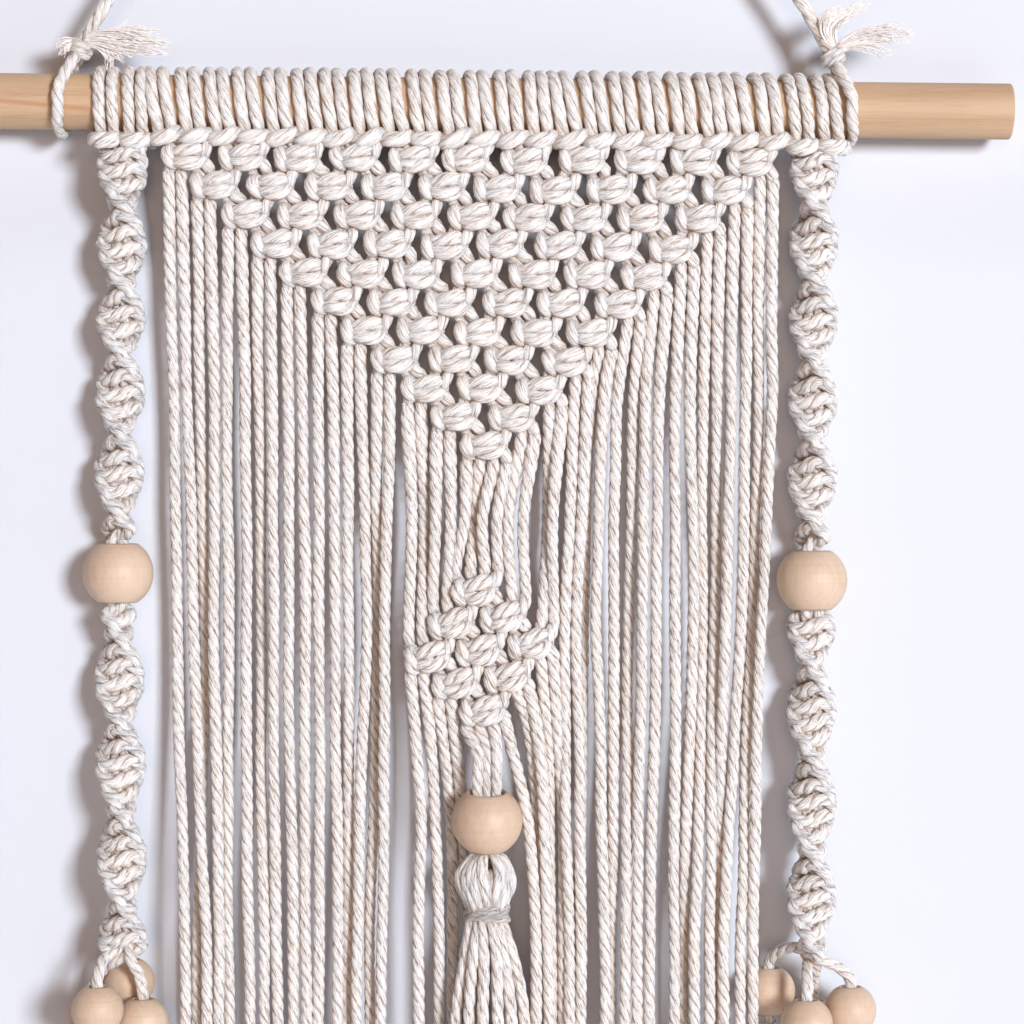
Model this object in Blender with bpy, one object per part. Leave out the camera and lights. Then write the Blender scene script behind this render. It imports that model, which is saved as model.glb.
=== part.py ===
"""Macrame wall hanging with wooden dowel, hanging from a hook.

A round dowel carries a row of lark's head loops. Below it hangs a triangular net of
alternating square knots, whose cords run on as long strands. Twelve of them make a
small diamond of knots with a bead and a tassel, and a spiral sinnet with beads hangs on
each side. A cord tied to both ends of the dowel runs over the hook.

Metres, +Z up, +X to the right as the front is seen, front towards -Y. The origin is the
point where the cord lies on the hook.
"""

import math
from typing import NamedTuple

import bpy
from mathutils import Vector

# Driving dimensions
CORD = 0.004  # thickness of the cotton cord
DOWEL_DIAMETER = 0.016
DOWEL_LENGTH = 0.310
DOWEL_DROP = 0.150  # hook to the dowel's centre line
DOWEL_SHIFT = 0.0043  # the dowel's middle is this far right of the hook
DOWEL_TILT = math.radians(0.6)  # the right end hangs lower
DOWEL_CHAMFER = 0.0006
CLEAR = 0.0003  # between pieces that touch

LOOP_PITCH = 0.00413  # one loop of a lark's head
LOOP_RADIUS = 0.0108  # outside of a loop, pulled flat, from the dowel's centre line
LOOP_GROOVE = 0.0009  # between two loops
# Degrees from the top over the front, and how far a loop swells there. The lark's heads'
# bars lie at its lower front.
LOOP_OUTLINE = (
    (0, 0.0),
    (33, 0.0),
    (63, 0.0),
    (93, 0.0),
    (120, 0.0012),
    (145, 0.0032),
    (170, 0.0026),
    (200, 0.0),
    (232, 0.0),
    (264, 0.0),
    (296, 0.0),
    (328, 0.0),
)
LOOP_STEP = 35  # the widest step between them
PANEL_LOOPS = 44
PANEL_LEFT = -0.0873  # left side of the panel's first loop
SINNET_LOOPS = 4

LAYER = -0.006  # the panel hangs in front of the dowel's centre line
BACK_LAYER = 0.0044  # a strand that hangs behind its neighbours
STRAND_HALF_WIDTH = 0.00165
STRAND_HALF_DEPTH = 0.0019
CHEST_DROP = 0.083  # heights at which the strands' places are given
WAIST_DROP = 0.149
HEM_DROP = 0.245
STRAND_DROP = 0.380
SETTLE = 0.012  # a strand leaves its knot over this length

NET_ROWS = 11
NET_LEFT = -0.0771  # first knot of the first row
NET_TOP = 0.0163
NET_PITCH = 0.01614
NET_ROW = 0.00817
NET_DRIFT = 0.0005  # each row sits this much further right
TAB_HEIGHT = 0.0068  # a first-row knot reaches up into the lark's heads
TAB_HALF_WIDTH = 0.0056

DIAMOND_LEFT = -0.0077  # leftmost knot of the middle row
DIAMOND_MIDDLE = 0.1583
DIAMOND_PITCH = 0.0147
DIAMOND_ROW = 0.0086
DIAMOND_DRIFT = 0.0006
DIAMOND_LIFT = 0.14  # its right side is drawn up by this slope

KNOT_HALF_DEPTH = 0.0046
NECK_HALF_DEPTH = 0.0026
GAP_HALF_WIDTH = 0.0017
GAP_HALF_HEIGHT = 0.0028
GAP_CORNER = (0.0010, 0.0016)
CREST = (0.0027, 0.0009)  # the two high points of a knot, either side of its centre
ROOTS = ((0.0056, 0.0032), (0.0019, 0.0050))  # where two strands leave a knot's corner

SINNET_HALF_WIDTH = 0.0072
SINNET_HALF_DEPTH = 0.0045
SINNET_STEP = 0.0044  # height of a half knot
# Above and below its bead: the drop where the band first lies flat, height of half a turn
LEFT_TWIST = ((0.0182, 0.0217), (0.1654, 0.0252))
RIGHT_TWIST = ((0.0160, 0.0229), (0.1490, 0.0260))
SINNET_NECK = 0.0025  # it narrows to its strands over this height
SINNET_END = 0.0045  # radius of the last knot
SINNET_BUNDLE = 0.0043  # its four strands in the bead
SINNET_TOP = 0.0110
SINNET_FOOT = 0.2460

BIG_BEAD_RADIUS = 0.0101
BIG_BORE = 0.0050
SMALL_BEAD_RADIUS = 0.0074
SMALL_BORE = 0.0026
BEAD_EDGE = 0.0004
SIDE_BEAD_DROP = 0.1354
CENTRE_BEAD = (0.0086, -0.0080, 0.2049)  # x, y, drop
CORE_PITCH = 0.0027  # between the three strands in the centre bead
CORE_HALF_WIDTH = 0.00115
CORE_HALF_DEPTH = 0.0018
CORE_SET_BACK = 0.0010  # of the middle one
BIG_FACETS = (16, 7)  # round a bead and from end to end
SMALL_FACETS = (12, 5)

END_SPREAD = 0.0023  # a sinnet's four strands leave its last knots this far from its axis
END_RISE = 0.0110  # and this far above its foot
STOP_KNOT_RADIUS = 0.0031
STOP_KNOT_TAIL = 0.0060

TASSEL_DROP = 0.2142
TASSEL_LENGTH = 0.0950
TASSEL_HEAD_RADIUS = 0.0084
TASSEL_NECK_RADIUS = 0.0058
TASSEL_SQUASH = 0.75  # it is flatter from front to back
TASSEL_RINGS = ((0.0052, 14), (0.0026, 7))  # radius at the neck, strands
TASSEL_FLARE = 2.0

HANGER_KNOT_X = 0.1077
HANGER_KNOT_RISE = 0.0147  # above the dowel's centre line
HANGER_KNOT_Y = -0.0045
HANGER_KNOT_RADIUS = 0.0037
HANGER_LOOP_X = 0.1136
# The hanging cord, from its left knot over the hook to its right knot
HANGER_ROUTE = (
    (-0.1057, -0.0045, -0.1302),
    (-0.1001, -0.0042, -0.1206),
    (-0.0950, -0.0040, -0.1126),
    (-0.0880, -0.0036, -0.1035),
    (-0.0700, -0.0025, -0.0815),
    (-0.0350, -0.0010, -0.0392),
    (-0.0120, -0.0002, -0.0112),
    (-0.0040, 0.0, -0.0005),
    (0.0, 0.0, 0.0020),
    (0.0040, 0.0, -0.0007),
    (0.0120, -0.0002, -0.0130),
    (0.0350, -0.0010, -0.0414),
    (0.0700, -0.0025, -0.0843),
    (0.0850, -0.0034, -0.1028),
    (0.0920, -0.0040, -0.1118),
    (0.0983, -0.0042, -0.1206),
    (0.1053, -0.0045, -0.1327),
)


class Point(NamedTuple):
    """A plan point: where it lies, and how far both skins stand from its layer."""

    x: float
    z: float
    y: float = LAYER
    thick: float = 0.0


class Strand(NamedTuple):
    """A hanging strand: its place across the panel and behind its layer, at three heights."""

    chest: float
    waist: float
    hem: float
    waist_depth: float = 0.0
    hem_depth: float = 0.0


# Two strands for each row of the net, from the outside inwards
LEFT_STRANDS = (
    Strand(-0.0814, -0.0803, -0.0780),
    Strand(-0.0774, -0.0757, -0.0719),
    Strand(-0.0740, -0.0726, -0.0748, BACK_LAYER, BACK_LAYER),
    Strand(-0.0698, -0.0696, -0.0683),
    Strand(-0.0659, -0.0657, -0.0660, 0.0, BACK_LAYER),
    Strand(-0.0606, -0.0606, -0.0597),
    Strand(-0.0568, -0.0568, -0.0554, BACK_LAYER, 0.0),
    Strand(-0.0529, -0.0529, -0.0517),
    Strand(-0.0486, -0.0483, -0.0471),
    Strand(-0.0443, -0.0437, -0.0434),
    Strand(-0.0400, -0.0394, -0.0397),
    Strand(-0.0358, -0.0349, -0.0343),
    Strand(-0.0317, -0.0309, -0.0320, 0.0, BACK_LAYER),
    Strand(-0.0275, -0.0260, -0.0289),
    Strand(-0.0236, -0.0230, -0.0252, BACK_LAYER, BACK_LAYER),
    Strand(-0.0200, -0.0206, -0.0217),
)
RIGHT_STRANDS = (
    Strand(0.0903, 0.0869, 0.0845),
    Strand(0.0866, 0.0846, 0.0809, BACK_LAYER, 0.0),
    Strand(0.0829, 0.0812, 0.0761),
    Strand(0.0783, 0.0771, 0.0742, 0.0, BACK_LAYER),
    Strand(0.0745, 0.0742, 0.0721, BACK_LAYER, 0.0),
    Strand(0.0704, 0.0706, 0.0681, BACK_LAYER, 0.0),
    Strand(0.0668, 0.0677, 0.0648, 0.0, BACK_LAYER),
    Strand(0.0627, 0.0623, 0.0623),
    Strand(0.0580, 0.0569, 0.0552),
    Strand(0.0541, 0.0528, 0.0516),
    Strand(0.0504, 0.0494, 0.0480, BACK_LAYER, 0.0),
    Strand(0.0457, 0.0448, 0.0445, 0.0, BACK_LAYER),
    Strand(0.0419, 0.0397, 0.0426),
    Strand(0.0379, 0.0363, 0.0347, BACK_LAYER, BACK_LAYER),
    Strand(0.0346, 0.0342, 0.0356),
    Strand(0.0306, 0.0306, 0.0320),
)
# The strands that leave the diamond, as place and depth just below it and at the hem
BELOW_LEFT = (
    Strand(-0.0120, -0.0105, -0.0109),
    Strand(-0.0075, -0.0066, -0.0049, 0.0020, 0.0030),
    Strand(-0.0030, -0.0020, -0.0012, 0.0090, 0.0100),
    Strand(0.0010, 0.0017, 0.0030, 0.0090, 0.0100),
)
BELOW_RIGHT = (
    Strand(0.0290, 0.0304, 0.0304, BACK_LAYER, BACK_LAYER),
    Strand(0.0260, 0.0268, 0.0268, BACK_LAYER, BACK_LAYER),
    Strand(0.0235, 0.0248, 0.0264),
    Strand(0.0215, 0.0229, 0.0229, BACK_LAYER, BACK_LAYER),
)
PASSING = Strand(0.0170, 0.0206, 0.0226)  # it runs beside the bead and the tassel

# Small beads on a sinnet's four strands: x from the sinnet's axis, y, drop. They start
# at its front left strand and go round by the right.
LEFT_CLUSTER = (
    (-0.0062, -0.0140, 0.2589),
    (0.0054, -0.0055, 0.2637),
    (0.0002, 0.0051, 0.2542),
    (-0.0108, 0.0045, 0.2662),
)
RIGHT_CLUSTER = (
    (-0.0023, -0.0140, 0.2606),
    (0.0109, -0.0068, 0.2579),
    (0.0016, 0.0046, 0.2640),
    (-0.0111, 0.0046, 0.2546),
)
# A sinnet's axis across the panel: at its top, at its bead and at its foot
LEFT_AXIS = (-0.0954, -0.0969, -0.0954)
RIGHT_AXIS = (0.1023, 0.1014, 0.1014)


def clear_scene():
    """Remove every object that the file holds."""
    for obj in list(bpy.data.objects):
        bpy.data.objects.remove(obj, do_unlink=True)


def make_material(name, colour, roughness):
    """Return a Principled material of one colour."""
    material = bpy.data.materials.new(name)
    material.use_nodes = True
    shader = material.node_tree.nodes["Principled BSDF"]
    shader.inputs["Base Color"].default_value = (*colour, 1.0)
    shader.inputs["Roughness"].default_value = roughness
    shader.inputs["Metallic"].default_value = 0.0
    return material


def cotton():
    """Undyed twisted cotton."""
    return make_material("cotton_cord", (0.80, 0.75, 0.69), 0.9)


def dowel_wood():
    """Bare pale pine."""
    return make_material("dowel_wood", (0.70, 0.47, 0.26), 0.6)


def bead_wood():
    """Turned beech, lightly polished."""
    return make_material("bead_wood", (0.76, 0.55, 0.34), 0.45)


def level(x, drop):
    """Height of what hangs a drop below the dowel's centre line, which tilts."""
    return -DOWEL_DROP - drop - (x - DOWEL_SHIFT) * math.tan(DOWEL_TILT)


def mix(a, b, share):
    """The value a share of the way from a to b."""
    return a + (b - a) * share


def add_object(name, vertices, faces, material, smooth_angle=None):
    """Link a new object made of these vertices and faces."""
    mesh = bpy.data.meshes.new(name)
    mesh.from_pydata(vertices, [], faces)
    mesh.materials.append(material)
    mesh.update()
    if smooth_angle is not None:
        mesh.shade_smooth()
        mesh.set_sharp_from_angle(angle=smooth_angle)
    obj = bpy.data.objects.new(name, mesh)
    bpy.context.scene.collection.objects.link(obj)
    return obj


def unite(obj, name, vertices, faces):
    """Join another closed shape to an object, with a Boolean that stays live."""
    other = add_object(name, vertices, faces, obj.data.materials[0])
    other.hide_render = True
    other.display_type = "WIRE"
    joint = obj.modifiers.new(name, "BOOLEAN")
    joint.operation = "UNION"
    joint.solver = "EXACT"
    joint.object = other


def skin(rings, capped=True):
    """Vertices and faces through rings of points, closed by caps or back to the first."""
    sides = len(rings[0])
    vertices = [tuple(point) for ring in rings for point in ring]
    faces = []
    bands = len(rings) - 1 if capped else len(rings)
    for i in range(bands):
        a = i * sides
        b = (i + 1) % len(rings) * sides
        for j in range(sides):
            k = (j + 1) % sides
            faces.append((a + j, a + k, b + k, b + j))
    if capped:
        faces.append(tuple(reversed(range(sides))))
        faces.append(tuple(range(len(vertices) - sides, len(vertices))))
    return vertices, faces


def turned(profile, centre, segments, squash=1.0):
    """Rings about a vertical axis, from a profile of (radius, height), bottom first."""
    rings = []
    for radius, height in profile:
        ring = []
        for i in range(segments):
            angle = math.tau * i / segments
            x = centre[0] + radius * math.cos(angle)
            y = centre[1] + radius * math.sin(angle) * squash
            ring.append((x, y, centre[2] + height))
        rings.append(ring)
    return rings


def tube(path, radii, sides, start_angle=0.0, closed=False):
    """Rings of a tube along a path, each square to the path there."""
    points = [Vector(p) for p in path]
    count = len(points)
    rings = []
    for i, point in enumerate(points):
        before = points[i - 1] if closed or i > 0 else point
        after = points[(i + 1) % count] if closed or i < count - 1 else point
        along = (after - before).normalized()
        side = along.cross(Vector((0.0, 1.0, 0.0)) if abs(along.y) < 0.9 else Vector((1.0, 0.0, 0.0)))
        side.normalize()
        up = side.cross(along)
        ring = []
        for j in range(sides):
            angle = start_angle + math.tau * j / sides
            ring.append(point + (side * math.cos(angle) - up * math.sin(angle)) * radii[i])
        rings.append(ring)
    return rings


class Plan:
    """An openwork sheet drawn in plan, with a front and a back.

    A plan point without thickness lies on the outline, and both skins share it.
    """

    def __init__(self):
        self.vertices = []
        self.faces = []
        self.numbers = {}

    def pair(self, point):
        """The numbers of a plan point's front and back vertices."""
        key = tuple(round(value, 6) for value in point)
        if key not in self.numbers:
            sides = (-point.thick, point.thick) if point.thick else (0.0,)
            for offset in sides:
                self.vertices.append((point.x, point.y + offset, point.z))
            last = len(self.vertices) - 1
            self.numbers[key] = (last + 1 - len(sides), last)
        return self.numbers[key]

    def face(self, *corners):
        """Add a face, counterclockwise as seen from the front, and the one behind it."""
        pairs = [self.pair(corner) for corner in corners]
        self.faces.append([front for front, back in pairs])
        self.faces.append([back for front, back in reversed(pairs)])

    def strip(self, stations):
        """Add a strand through stations of (left, middle, right) points, top first."""
        for upper, lower in zip(stations, stations[1:]):
            self.face(upper[0], lower[0], lower[1], upper[1])
            self.face(upper[1], lower[1], lower[2], upper[2])

    def close(self, station):
        """Close a strand's cut end."""
        left, middle, right = (self.pair(point) for point in station)
        self.faces.append([left[0], middle[1], right[0], middle[0]])


def station(x, z, y=LAYER, half_width=STRAND_HALF_WIDTH, half_depth=STRAND_HALF_DEPTH):
    """The three plan points across a strand."""
    return (Point(x - half_width, z, y), Point(x, z, y, half_depth), Point(x + half_width, z, y))


class Knot:
    """A square knot of a net: a raised pad with a neck or two strands at each corner."""

    def __init__(self, x, drop, pitch, row, lift=0.0):
        self.x = x
        self.z = level(x, drop)
        self.pitch = pitch
        self.row = row
        self.lift = lift
        self.corners = {}

    def at(self, dx, dz, thick=0.0):
        """A plan point near the knot's centre, on its lifted axes."""
        return Point(self.x + dx, self.z + dz + self.lift * dx, LAYER, thick)

    def root(self, across, up, order):
        """The station where a strand leaves the corner towards (across, up)."""
        dx, dz = ROOTS[order]
        return station(self.x + across * dx, self.z + up * dz + self.lift * across * dx)

    def neck(self, across, up, other):
        """The three points between this knot and the one at its corner."""
        x = (self.x + other.x) / 2
        z = (self.z + other.z) / 2
        half_x = self.pitch / 4 - GAP_CORNER[0]
        half_z = self.row / 2 - GAP_CORNER[1]
        outer = Point(x + across * half_x, z - up * half_z + self.lift * across * half_x)
        inner = Point(x - across * half_x, z + up * half_z - self.lift * across * half_x)
        return (outer, Point(x, z, LAYER, NECK_HALF_DEPTH), inner)

    def corner(self, across, up):
        """The outline at one corner, from the side of the knot to its top or bottom."""
        other = self.corners.get((across, up))
        if isinstance(other, Knot):
            return list(self.neck(across, up, other))
        if other == "tab":
            return [self.at(across * TAB_HALF_WIDTH, TAB_HEIGHT * share) for share in (0.5, 1.0)]
        outer, inner = (self.root(across, up, order) for order in (0, 1))
        points = [*outer, *inner] if across < 0 else [*reversed(outer), *reversed(inner)]
        return points

    def draw(self, plan):
        """Add the knot's faces to the plan."""
        side = self.pitch / 2 - GAP_HALF_WIDTH
        end = self.row - GAP_HALF_HEIGHT
        top = TAB_HEIGHT if self.corners.get((1, 1)) == "tab" else end
        above, below = self.at(0.0, top), self.at(0.0, -end)
        for across in (1, -1):
            crest = self.at(across * CREST[0], across * CREST[1], KNOT_HALF_DEPTH)
            middle = self.at(across * side, 0.0)
            upper = [middle, *self.corner(across, 1), above]
            lower = [below, *reversed(self.corner(across, -1)), middle]
            rim = lower + upper[1:]
            for a, b in zip(rim, rim[1:]):
                plan.face(*((a, b, crest) if across > 0 else (b, a, crest)))
        left, right = (self.at(s * CREST[0], s * CREST[1], KNOT_HALF_DEPTH) for s in (-1, 1))
        plan.face(above, left, right)
        plan.face(below, right, left)


def hang(plan, root, strand, levels, foot=STRAND_DROP):
    """Add a strand from its root through the heights at which its place is given."""
    stations = [root]
    top = root[1].z
    for drop, x, depth in levels(strand):
        z = level(x, drop)
        if top - z > SETTLE:
            stations.append(station(x, z, LAYER + depth))
    end = stations[-1][1]
    stations.append(station(end.x, level(end.x, foot), end.y))
    plan.strip(stations)
    plan.close(stations[-1])


def free_levels(strand):
    """Heights of a strand that hangs from the net."""
    half = strand.waist_depth / 2
    return (
        (CHEST_DROP, strand.chest, half),
        (WAIST_DROP, strand.waist, strand.waist_depth),
        (HEM_DROP, strand.hem, strand.hem_depth),
    )


def low_levels(strand):
    """Heights of a strand that hangs from the diamond."""
    middle = CENTRE_BEAD[2]
    return (
        (DIAMOND_MIDDLE + 2.6 * DIAMOND_ROW, strand.chest, strand.waist_depth * 0.6),
        (middle, strand.waist, strand.waist_depth),
        (HEM_DROP, strand.hem, strand.hem_depth),
    )


def net_knots():
    """The rows of the triangular net, each knot told of its neighbours."""
    rows = []
    for r in range(NET_ROWS):
        x = NET_LEFT + r * (NET_PITCH / 2 + NET_DRIFT)
        drop = NET_TOP + r * NET_ROW
        rows.append([Knot(x + k * NET_PITCH, drop, NET_PITCH, NET_ROW) for k in range(NET_ROWS - r)])
    for knot in rows[0]:
        knot.corners[(1, 1)] = knot.corners[(-1, 1)] = "tab"
    join_rows(rows)
    return rows


def join_rows(rows):
    """Tell knots of neighbouring rows about each other, by the nearest half pitch."""
    for upper, lower in zip(rows, rows[1:]):
        for knot in upper:
            for other in lower:
                if abs(other.x - knot.x) < 0.75 * knot.pitch:
                    across = 1 if other.x > knot.x else -1
                    knot.corners[(across, -1)] = other
                    other.corners[(-across, 1)] = knot


def diamond_knots():
    """The rows of the diamond: one knot, two, three, two and one."""
    rows = []
    for r, count in enumerate((1, 2, 3, 2, 1)):
        drift = (r - 2) * DIAMOND_DRIFT
        left = DIAMOND_LEFT + (3 - count) * DIAMOND_PITCH / 2 + drift
        row = []
        for k in range(count):
            x = left + k * DIAMOND_PITCH
            drop = DIAMOND_MIDDLE + (r - 2) * DIAMOND_ROW - (x - DIAMOND_LEFT) * DIAMOND_LIFT
            row.append(Knot(x, drop, DIAMOND_PITCH, DIAMOND_ROW, DIAMOND_LIFT))
        rows.append(row)
    join_rows(rows)
    return rows


def connect(plan, net, diamond):
    """Add the twelve strands between the net's tip and the diamond."""
    pairs = (
        (net[8][0], diamond[2][0], -1),
        (net[9][0], diamond[1][0], -1),
        (net[10][0], diamond[0][0], -1),
        (net[10][0], diamond[0][0], 1),
        (net[9][-1], diamond[1][-1], 1),
        (net[8][-1], diamond[2][-1], 1),
    )
    for upper, lower, across in pairs:
        for order in (0, 1):
            plan.strip([upper.root(across, -1, order), lower.root(across, 1, order)])


def core(plan, last):
    """Add the bundle of three strands that runs through the centre bead."""
    inner = [last.root(-1, -1, order) for order in (0, 1)] + [last.root(1, -1, 1)]
    x, y, drop = CENTRE_BEAD
    above = drop - BIG_BEAD_RADIUS - SETTLE / 2
    for side, root in zip((-1, 0, 1), inner):
        place = x + side * CORE_PITCH
        turn = CORE_SET_BACK if side == 0 else 0.0
        stations = [root]
        for height in (above, drop, TASSEL_DROP - CLEAR):
            z = level(x, height)
            stations.append(station(place, z, y + turn, CORE_HALF_WIDTH, CORE_HALF_DEPTH))
        plan.strip(stations)
        plan.close(stations[-1])


def build_panel(material):
    """The heading, the net, the diamond and all strands, as one openwork body."""
    plan = Plan()
    net, diamond = net_knots(), diamond_knots()
    for row in net + diamond:
        for knot in row:
            knot.draw(plan)
    for side, strands in ((-1, LEFT_STRANDS), (1, RIGHT_STRANDS)):
        for i, strand in enumerate(strands):
            row = net[i // 2]
            knot = row[0] if side < 0 else row[-1]
            hang(plan, knot.root(side, -1, i % 2), strand, free_levels)
    connect(plan, net, diamond)
    for side, strands in ((-1, BELOW_LEFT), (1, BELOW_RIGHT)):
        for i, strand in enumerate(strands):
            row = diamond[2 + i // 2]
            knot = row[0] if side < 0 else row[-1]
            hang(plan, knot.root(side, -1, i % 2), strand, low_levels)
    last = diamond[4][0]
    hang(plan, last.root(1, -1, 0), PASSING, low_levels)
    core(plan, last)
    panel = add_object("macrame_panel", *loops(PANEL_LEFT, PANEL_LOOPS), material)
    unite(panel, "net_and_strands", plan.vertices, plan.faces)


def loops(left, count):
    """A sleeve of loops round the dowel, with grooves between them."""
    bore = (DOWEL_DIAMETER / 2 + CLEAR) / math.cos(math.radians(LOOP_STEP) / 2)
    xs = [left + i * LOOP_PITCH / 2 for i in range(2 * count + 1)]
    outer = []
    for i, x in enumerate(xs):
        inset = 0.0 if i % 2 else LOOP_GROOVE
        outer.append([around(x, angle, LOOP_RADIUS + swell - inset) for angle, swell in LOOP_OUTLINE])
    inner = [[around(x, angle, bore) for angle, swell in LOOP_OUTLINE] for x in (xs[-1], xs[0])]
    return skin(outer + inner, capped=False)


def around(x, degrees, radius):
    """A point round the dowel, its angle counted from the top over the front."""
    angle = math.radians(degrees)
    return (x, -radius * math.sin(angle), level(x, 0.0) + radius * math.cos(angle))


def sinnet_place(axis, drop):
    """A sinnet's place across the panel at a height."""
    top, bead, foot = axis
    if drop < SIDE_BEAD_DROP:
        return mix(top, bead, drop / SIDE_BEAD_DROP)
    return mix(bead, foot, (drop - SIDE_BEAD_DROP) / (SINNET_FOOT - SIDE_BEAD_DROP))


def sinnet_stations():
    """A sinnet's heights, foot first, each with its section's half width and half depth."""
    band = (SINNET_HALF_WIDTH, SINNET_HALF_DEPTH)
    bundle = (SINNET_BUNDLE, SINNET_BUNDLE)
    half_bead = BIG_BEAD_RADIUS * math.cos(math.asin(BIG_BORE / BIG_BEAD_RADIUS)) + CLEAR
    steps = int((SINNET_FOOT - SINNET_NECK - SINNET_TOP) / SINNET_STEP)
    stations = [(SINNET_FOOT, SINNET_END, SINNET_END)]
    for reach, section in ((SINNET_NECK, band), (0.0, bundle)):
        stations.append((SIDE_BEAD_DROP + half_bead + reach, *section))
        stations.append((SIDE_BEAD_DROP - half_bead - reach, *section))
    for i in range(steps + 1):
        drop = SINNET_TOP + i * SINNET_STEP
        if abs(drop - SIDE_BEAD_DROP) > half_bead + 1.4 * SINNET_NECK:
            stations.append((drop, *band))
    return sorted(stations, reverse=True)


def band_angle(twist, drop):
    """How far a sinnet's band has turned at a height."""
    flat, half_turn = twist[drop > SIDE_BEAD_DROP]
    return math.pi * ((drop - flat) / half_turn % 1)


def sinnet_rings(axis, twist):
    """Rings of the flat twisted band of half knots, bottom first."""
    rings = []
    turned_by = 0.0
    for drop, half_width, half_depth in sinnet_stations():
        x = sinnet_place(axis, drop)
        angle_here = band_angle(twist, drop)
        turned_by = angle_here + math.pi * round((turned_by - angle_here) / math.pi)
        ring = []
        for j in range(8):
            angle = math.tau * (j + 0.5) / 8
            across, out = half_width * math.cos(angle), half_depth * math.sin(angle)
            dx = across * math.cos(turned_by) - out * math.sin(turned_by)
            dy = across * math.sin(turned_by) + out * math.cos(turned_by)
            ring.append((x + dx, LAYER + dy, level(x, drop)))
        rings.append(ring)
    return rings


def end_strands(axis, cluster):
    """Rings of the four strands from a sinnet's last knot through beads to stop knots."""
    strands = []
    reach = SMALL_BEAD_RADIUS * math.cos(math.asin(SMALL_BORE / SMALL_BEAD_RADIUS))
    for (dx, y, drop), (across, out) in zip(cluster, ((-1, -1), (1, -1), (1, 1), (-1, 1))):
        x = axis[2] + dx
        start_x = axis[2] + across * END_SPREAD
        start_y = LAYER + out * END_SPREAD
        start = (start_x, start_y, level(start_x, SINNET_FOOT - END_RISE))
        heights = (drop - reach - 0.0008, drop, drop + reach + CLEAR)
        path = [start] + [(x, y, level(x, height)) for height in heights]
        radii = [CORD / 2 - CLEAR] * 4
        below = heights[-1]
        for extra, radius in ((0.0020, 0.8), (0.0040, 1.0), (0.0060, 0.6)):
            path.append((x, y, level(x, below + extra)))
            radii.append(STOP_KNOT_RADIUS * radius)
        path.append((x, y, level(x, below + 0.0060 + STOP_KNOT_TAIL)))
        radii.append(CORD / 2)
        strands.append(tube(path, radii, 6))
    return strands


def build_sinnet(name, axis, twist, left, cluster, material):
    """Two lark's heads, the spiral of half knots and its four strands."""
    sinnet = add_object(name, *loops(left, SINNET_LOOPS), material)
    unite(sinnet, name + "_spiral", *skin(sinnet_rings(axis, twist)))
    for i, rings in enumerate(end_strands(axis, cluster), 1):
        unite(sinnet, f"{name}_end_{i}", *skin(rings))


def build_bead(name, centre, radius, bore, facets, material):
    """A turned bead with a straight bore and softened edges, its axis upright."""
    segments, rows = facets
    limit = math.asin((bore + BEAD_EDGE) / radius)
    outer = []
    for i in range(rows):
        angle = mix(math.pi - limit, limit, i / (rows - 1))
        outer.append((radius * math.sin(angle), radius * math.cos(angle)))
    half = outer[-1][1] - BEAD_EDGE / 2
    profile = outer + [(bore, half), (bore, -half)]
    rings = turned(profile, centre, segments)
    add_object(name, *skin(rings, capped=False), material, math.radians(40))


def build_beads(material):
    """The three large beads and the two clusters of small ones."""
    x, y, drop = CENTRE_BEAD
    big, small = (BIG_BEAD_RADIUS, BIG_BORE, BIG_FACETS), (SMALL_BEAD_RADIUS, SMALL_BORE, SMALL_FACETS)
    build_bead("centre_bead", (x, y, level(x, drop)), *big, material)
    sides = (("left", LEFT_AXIS, LEFT_CLUSTER), ("right", RIGHT_AXIS, RIGHT_CLUSTER))
    for side, axis, cluster in sides:
        centre = (axis[1], LAYER, level(axis[1], SIDE_BEAD_DROP))
        build_bead("side_bead_" + side, centre, *big, material)
        for i, (dx, y, drop) in enumerate(cluster, 1):
            x = axis[2] + dx
            centre = (x, y, level(x, drop))
            build_bead(f"end_bead_{side}_{i}", centre, *small, material)


def build_tassel(material):
    """A folded head, a bound neck and a skirt of strands that stand apart."""
    x, y = CENTRE_BEAD[:2]
    top = level(x, TASSEL_DROP)
    profile = (
        (0.0055, -0.0225),
        (TASSEL_NECK_RADIUS + 0.0006, -0.0205),
        (TASSEL_NECK_RADIUS, -0.0150),
        (TASSEL_HEAD_RADIUS * 0.9, -0.0115),
        (TASSEL_HEAD_RADIUS, -0.0070),
        (TASSEL_HEAD_RADIUS * 0.8, -0.0025),
        (0.0035, 0.0),
    )
    head = turned(profile, (x, y, top), 12, TASSEL_SQUASH)
    tassel = add_object("tassel", *skin(head), material)
    for radius, count in TASSEL_RINGS:
        for i in range(count):
            angle = math.tau * (i + 0.5) / count
            path = []
            for share, flare in ((0.0, 1.0), (0.12, 1.0), (0.45, 1.75), (1.0, TASSEL_FLARE)):
                reach = radius * flare
                z = top - 0.0195 - share * (TASSEL_LENGTH - 0.0195)
                path.append((x + reach * math.cos(angle), y + reach * math.sin(angle) * TASSEL_SQUASH, z))
            rings = tube(path, (0.0010, 0.0011, 0.0018, 0.0019), 3, angle)
            unite(tassel, f"skirt_strand_{count}_{i + 1}", *skin(rings))


def build_dowel(material):
    """The round stick, lying along the heading and a little lower on the right."""
    radius, half = DOWEL_DIAMETER / 2, DOWEL_LENGTH / 2
    inner = radius - DOWEL_CHAMFER
    profile = (
        (inner, -half),
        (radius, -half + DOWEL_CHAMFER),
        (radius, half - DOWEL_CHAMFER),
        (inner, half),
    )
    rings = turned(profile, (0.0, 0.0, 0.0), 32)
    dowel = add_object("dowel", *skin(rings), material, math.radians(30))
    dowel.rotation_euler = (0.0, math.pi / 2 + DOWEL_TILT, 0.0)
    dowel.location = (DOWEL_SHIFT, 0.0, -DOWEL_DROP)


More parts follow.
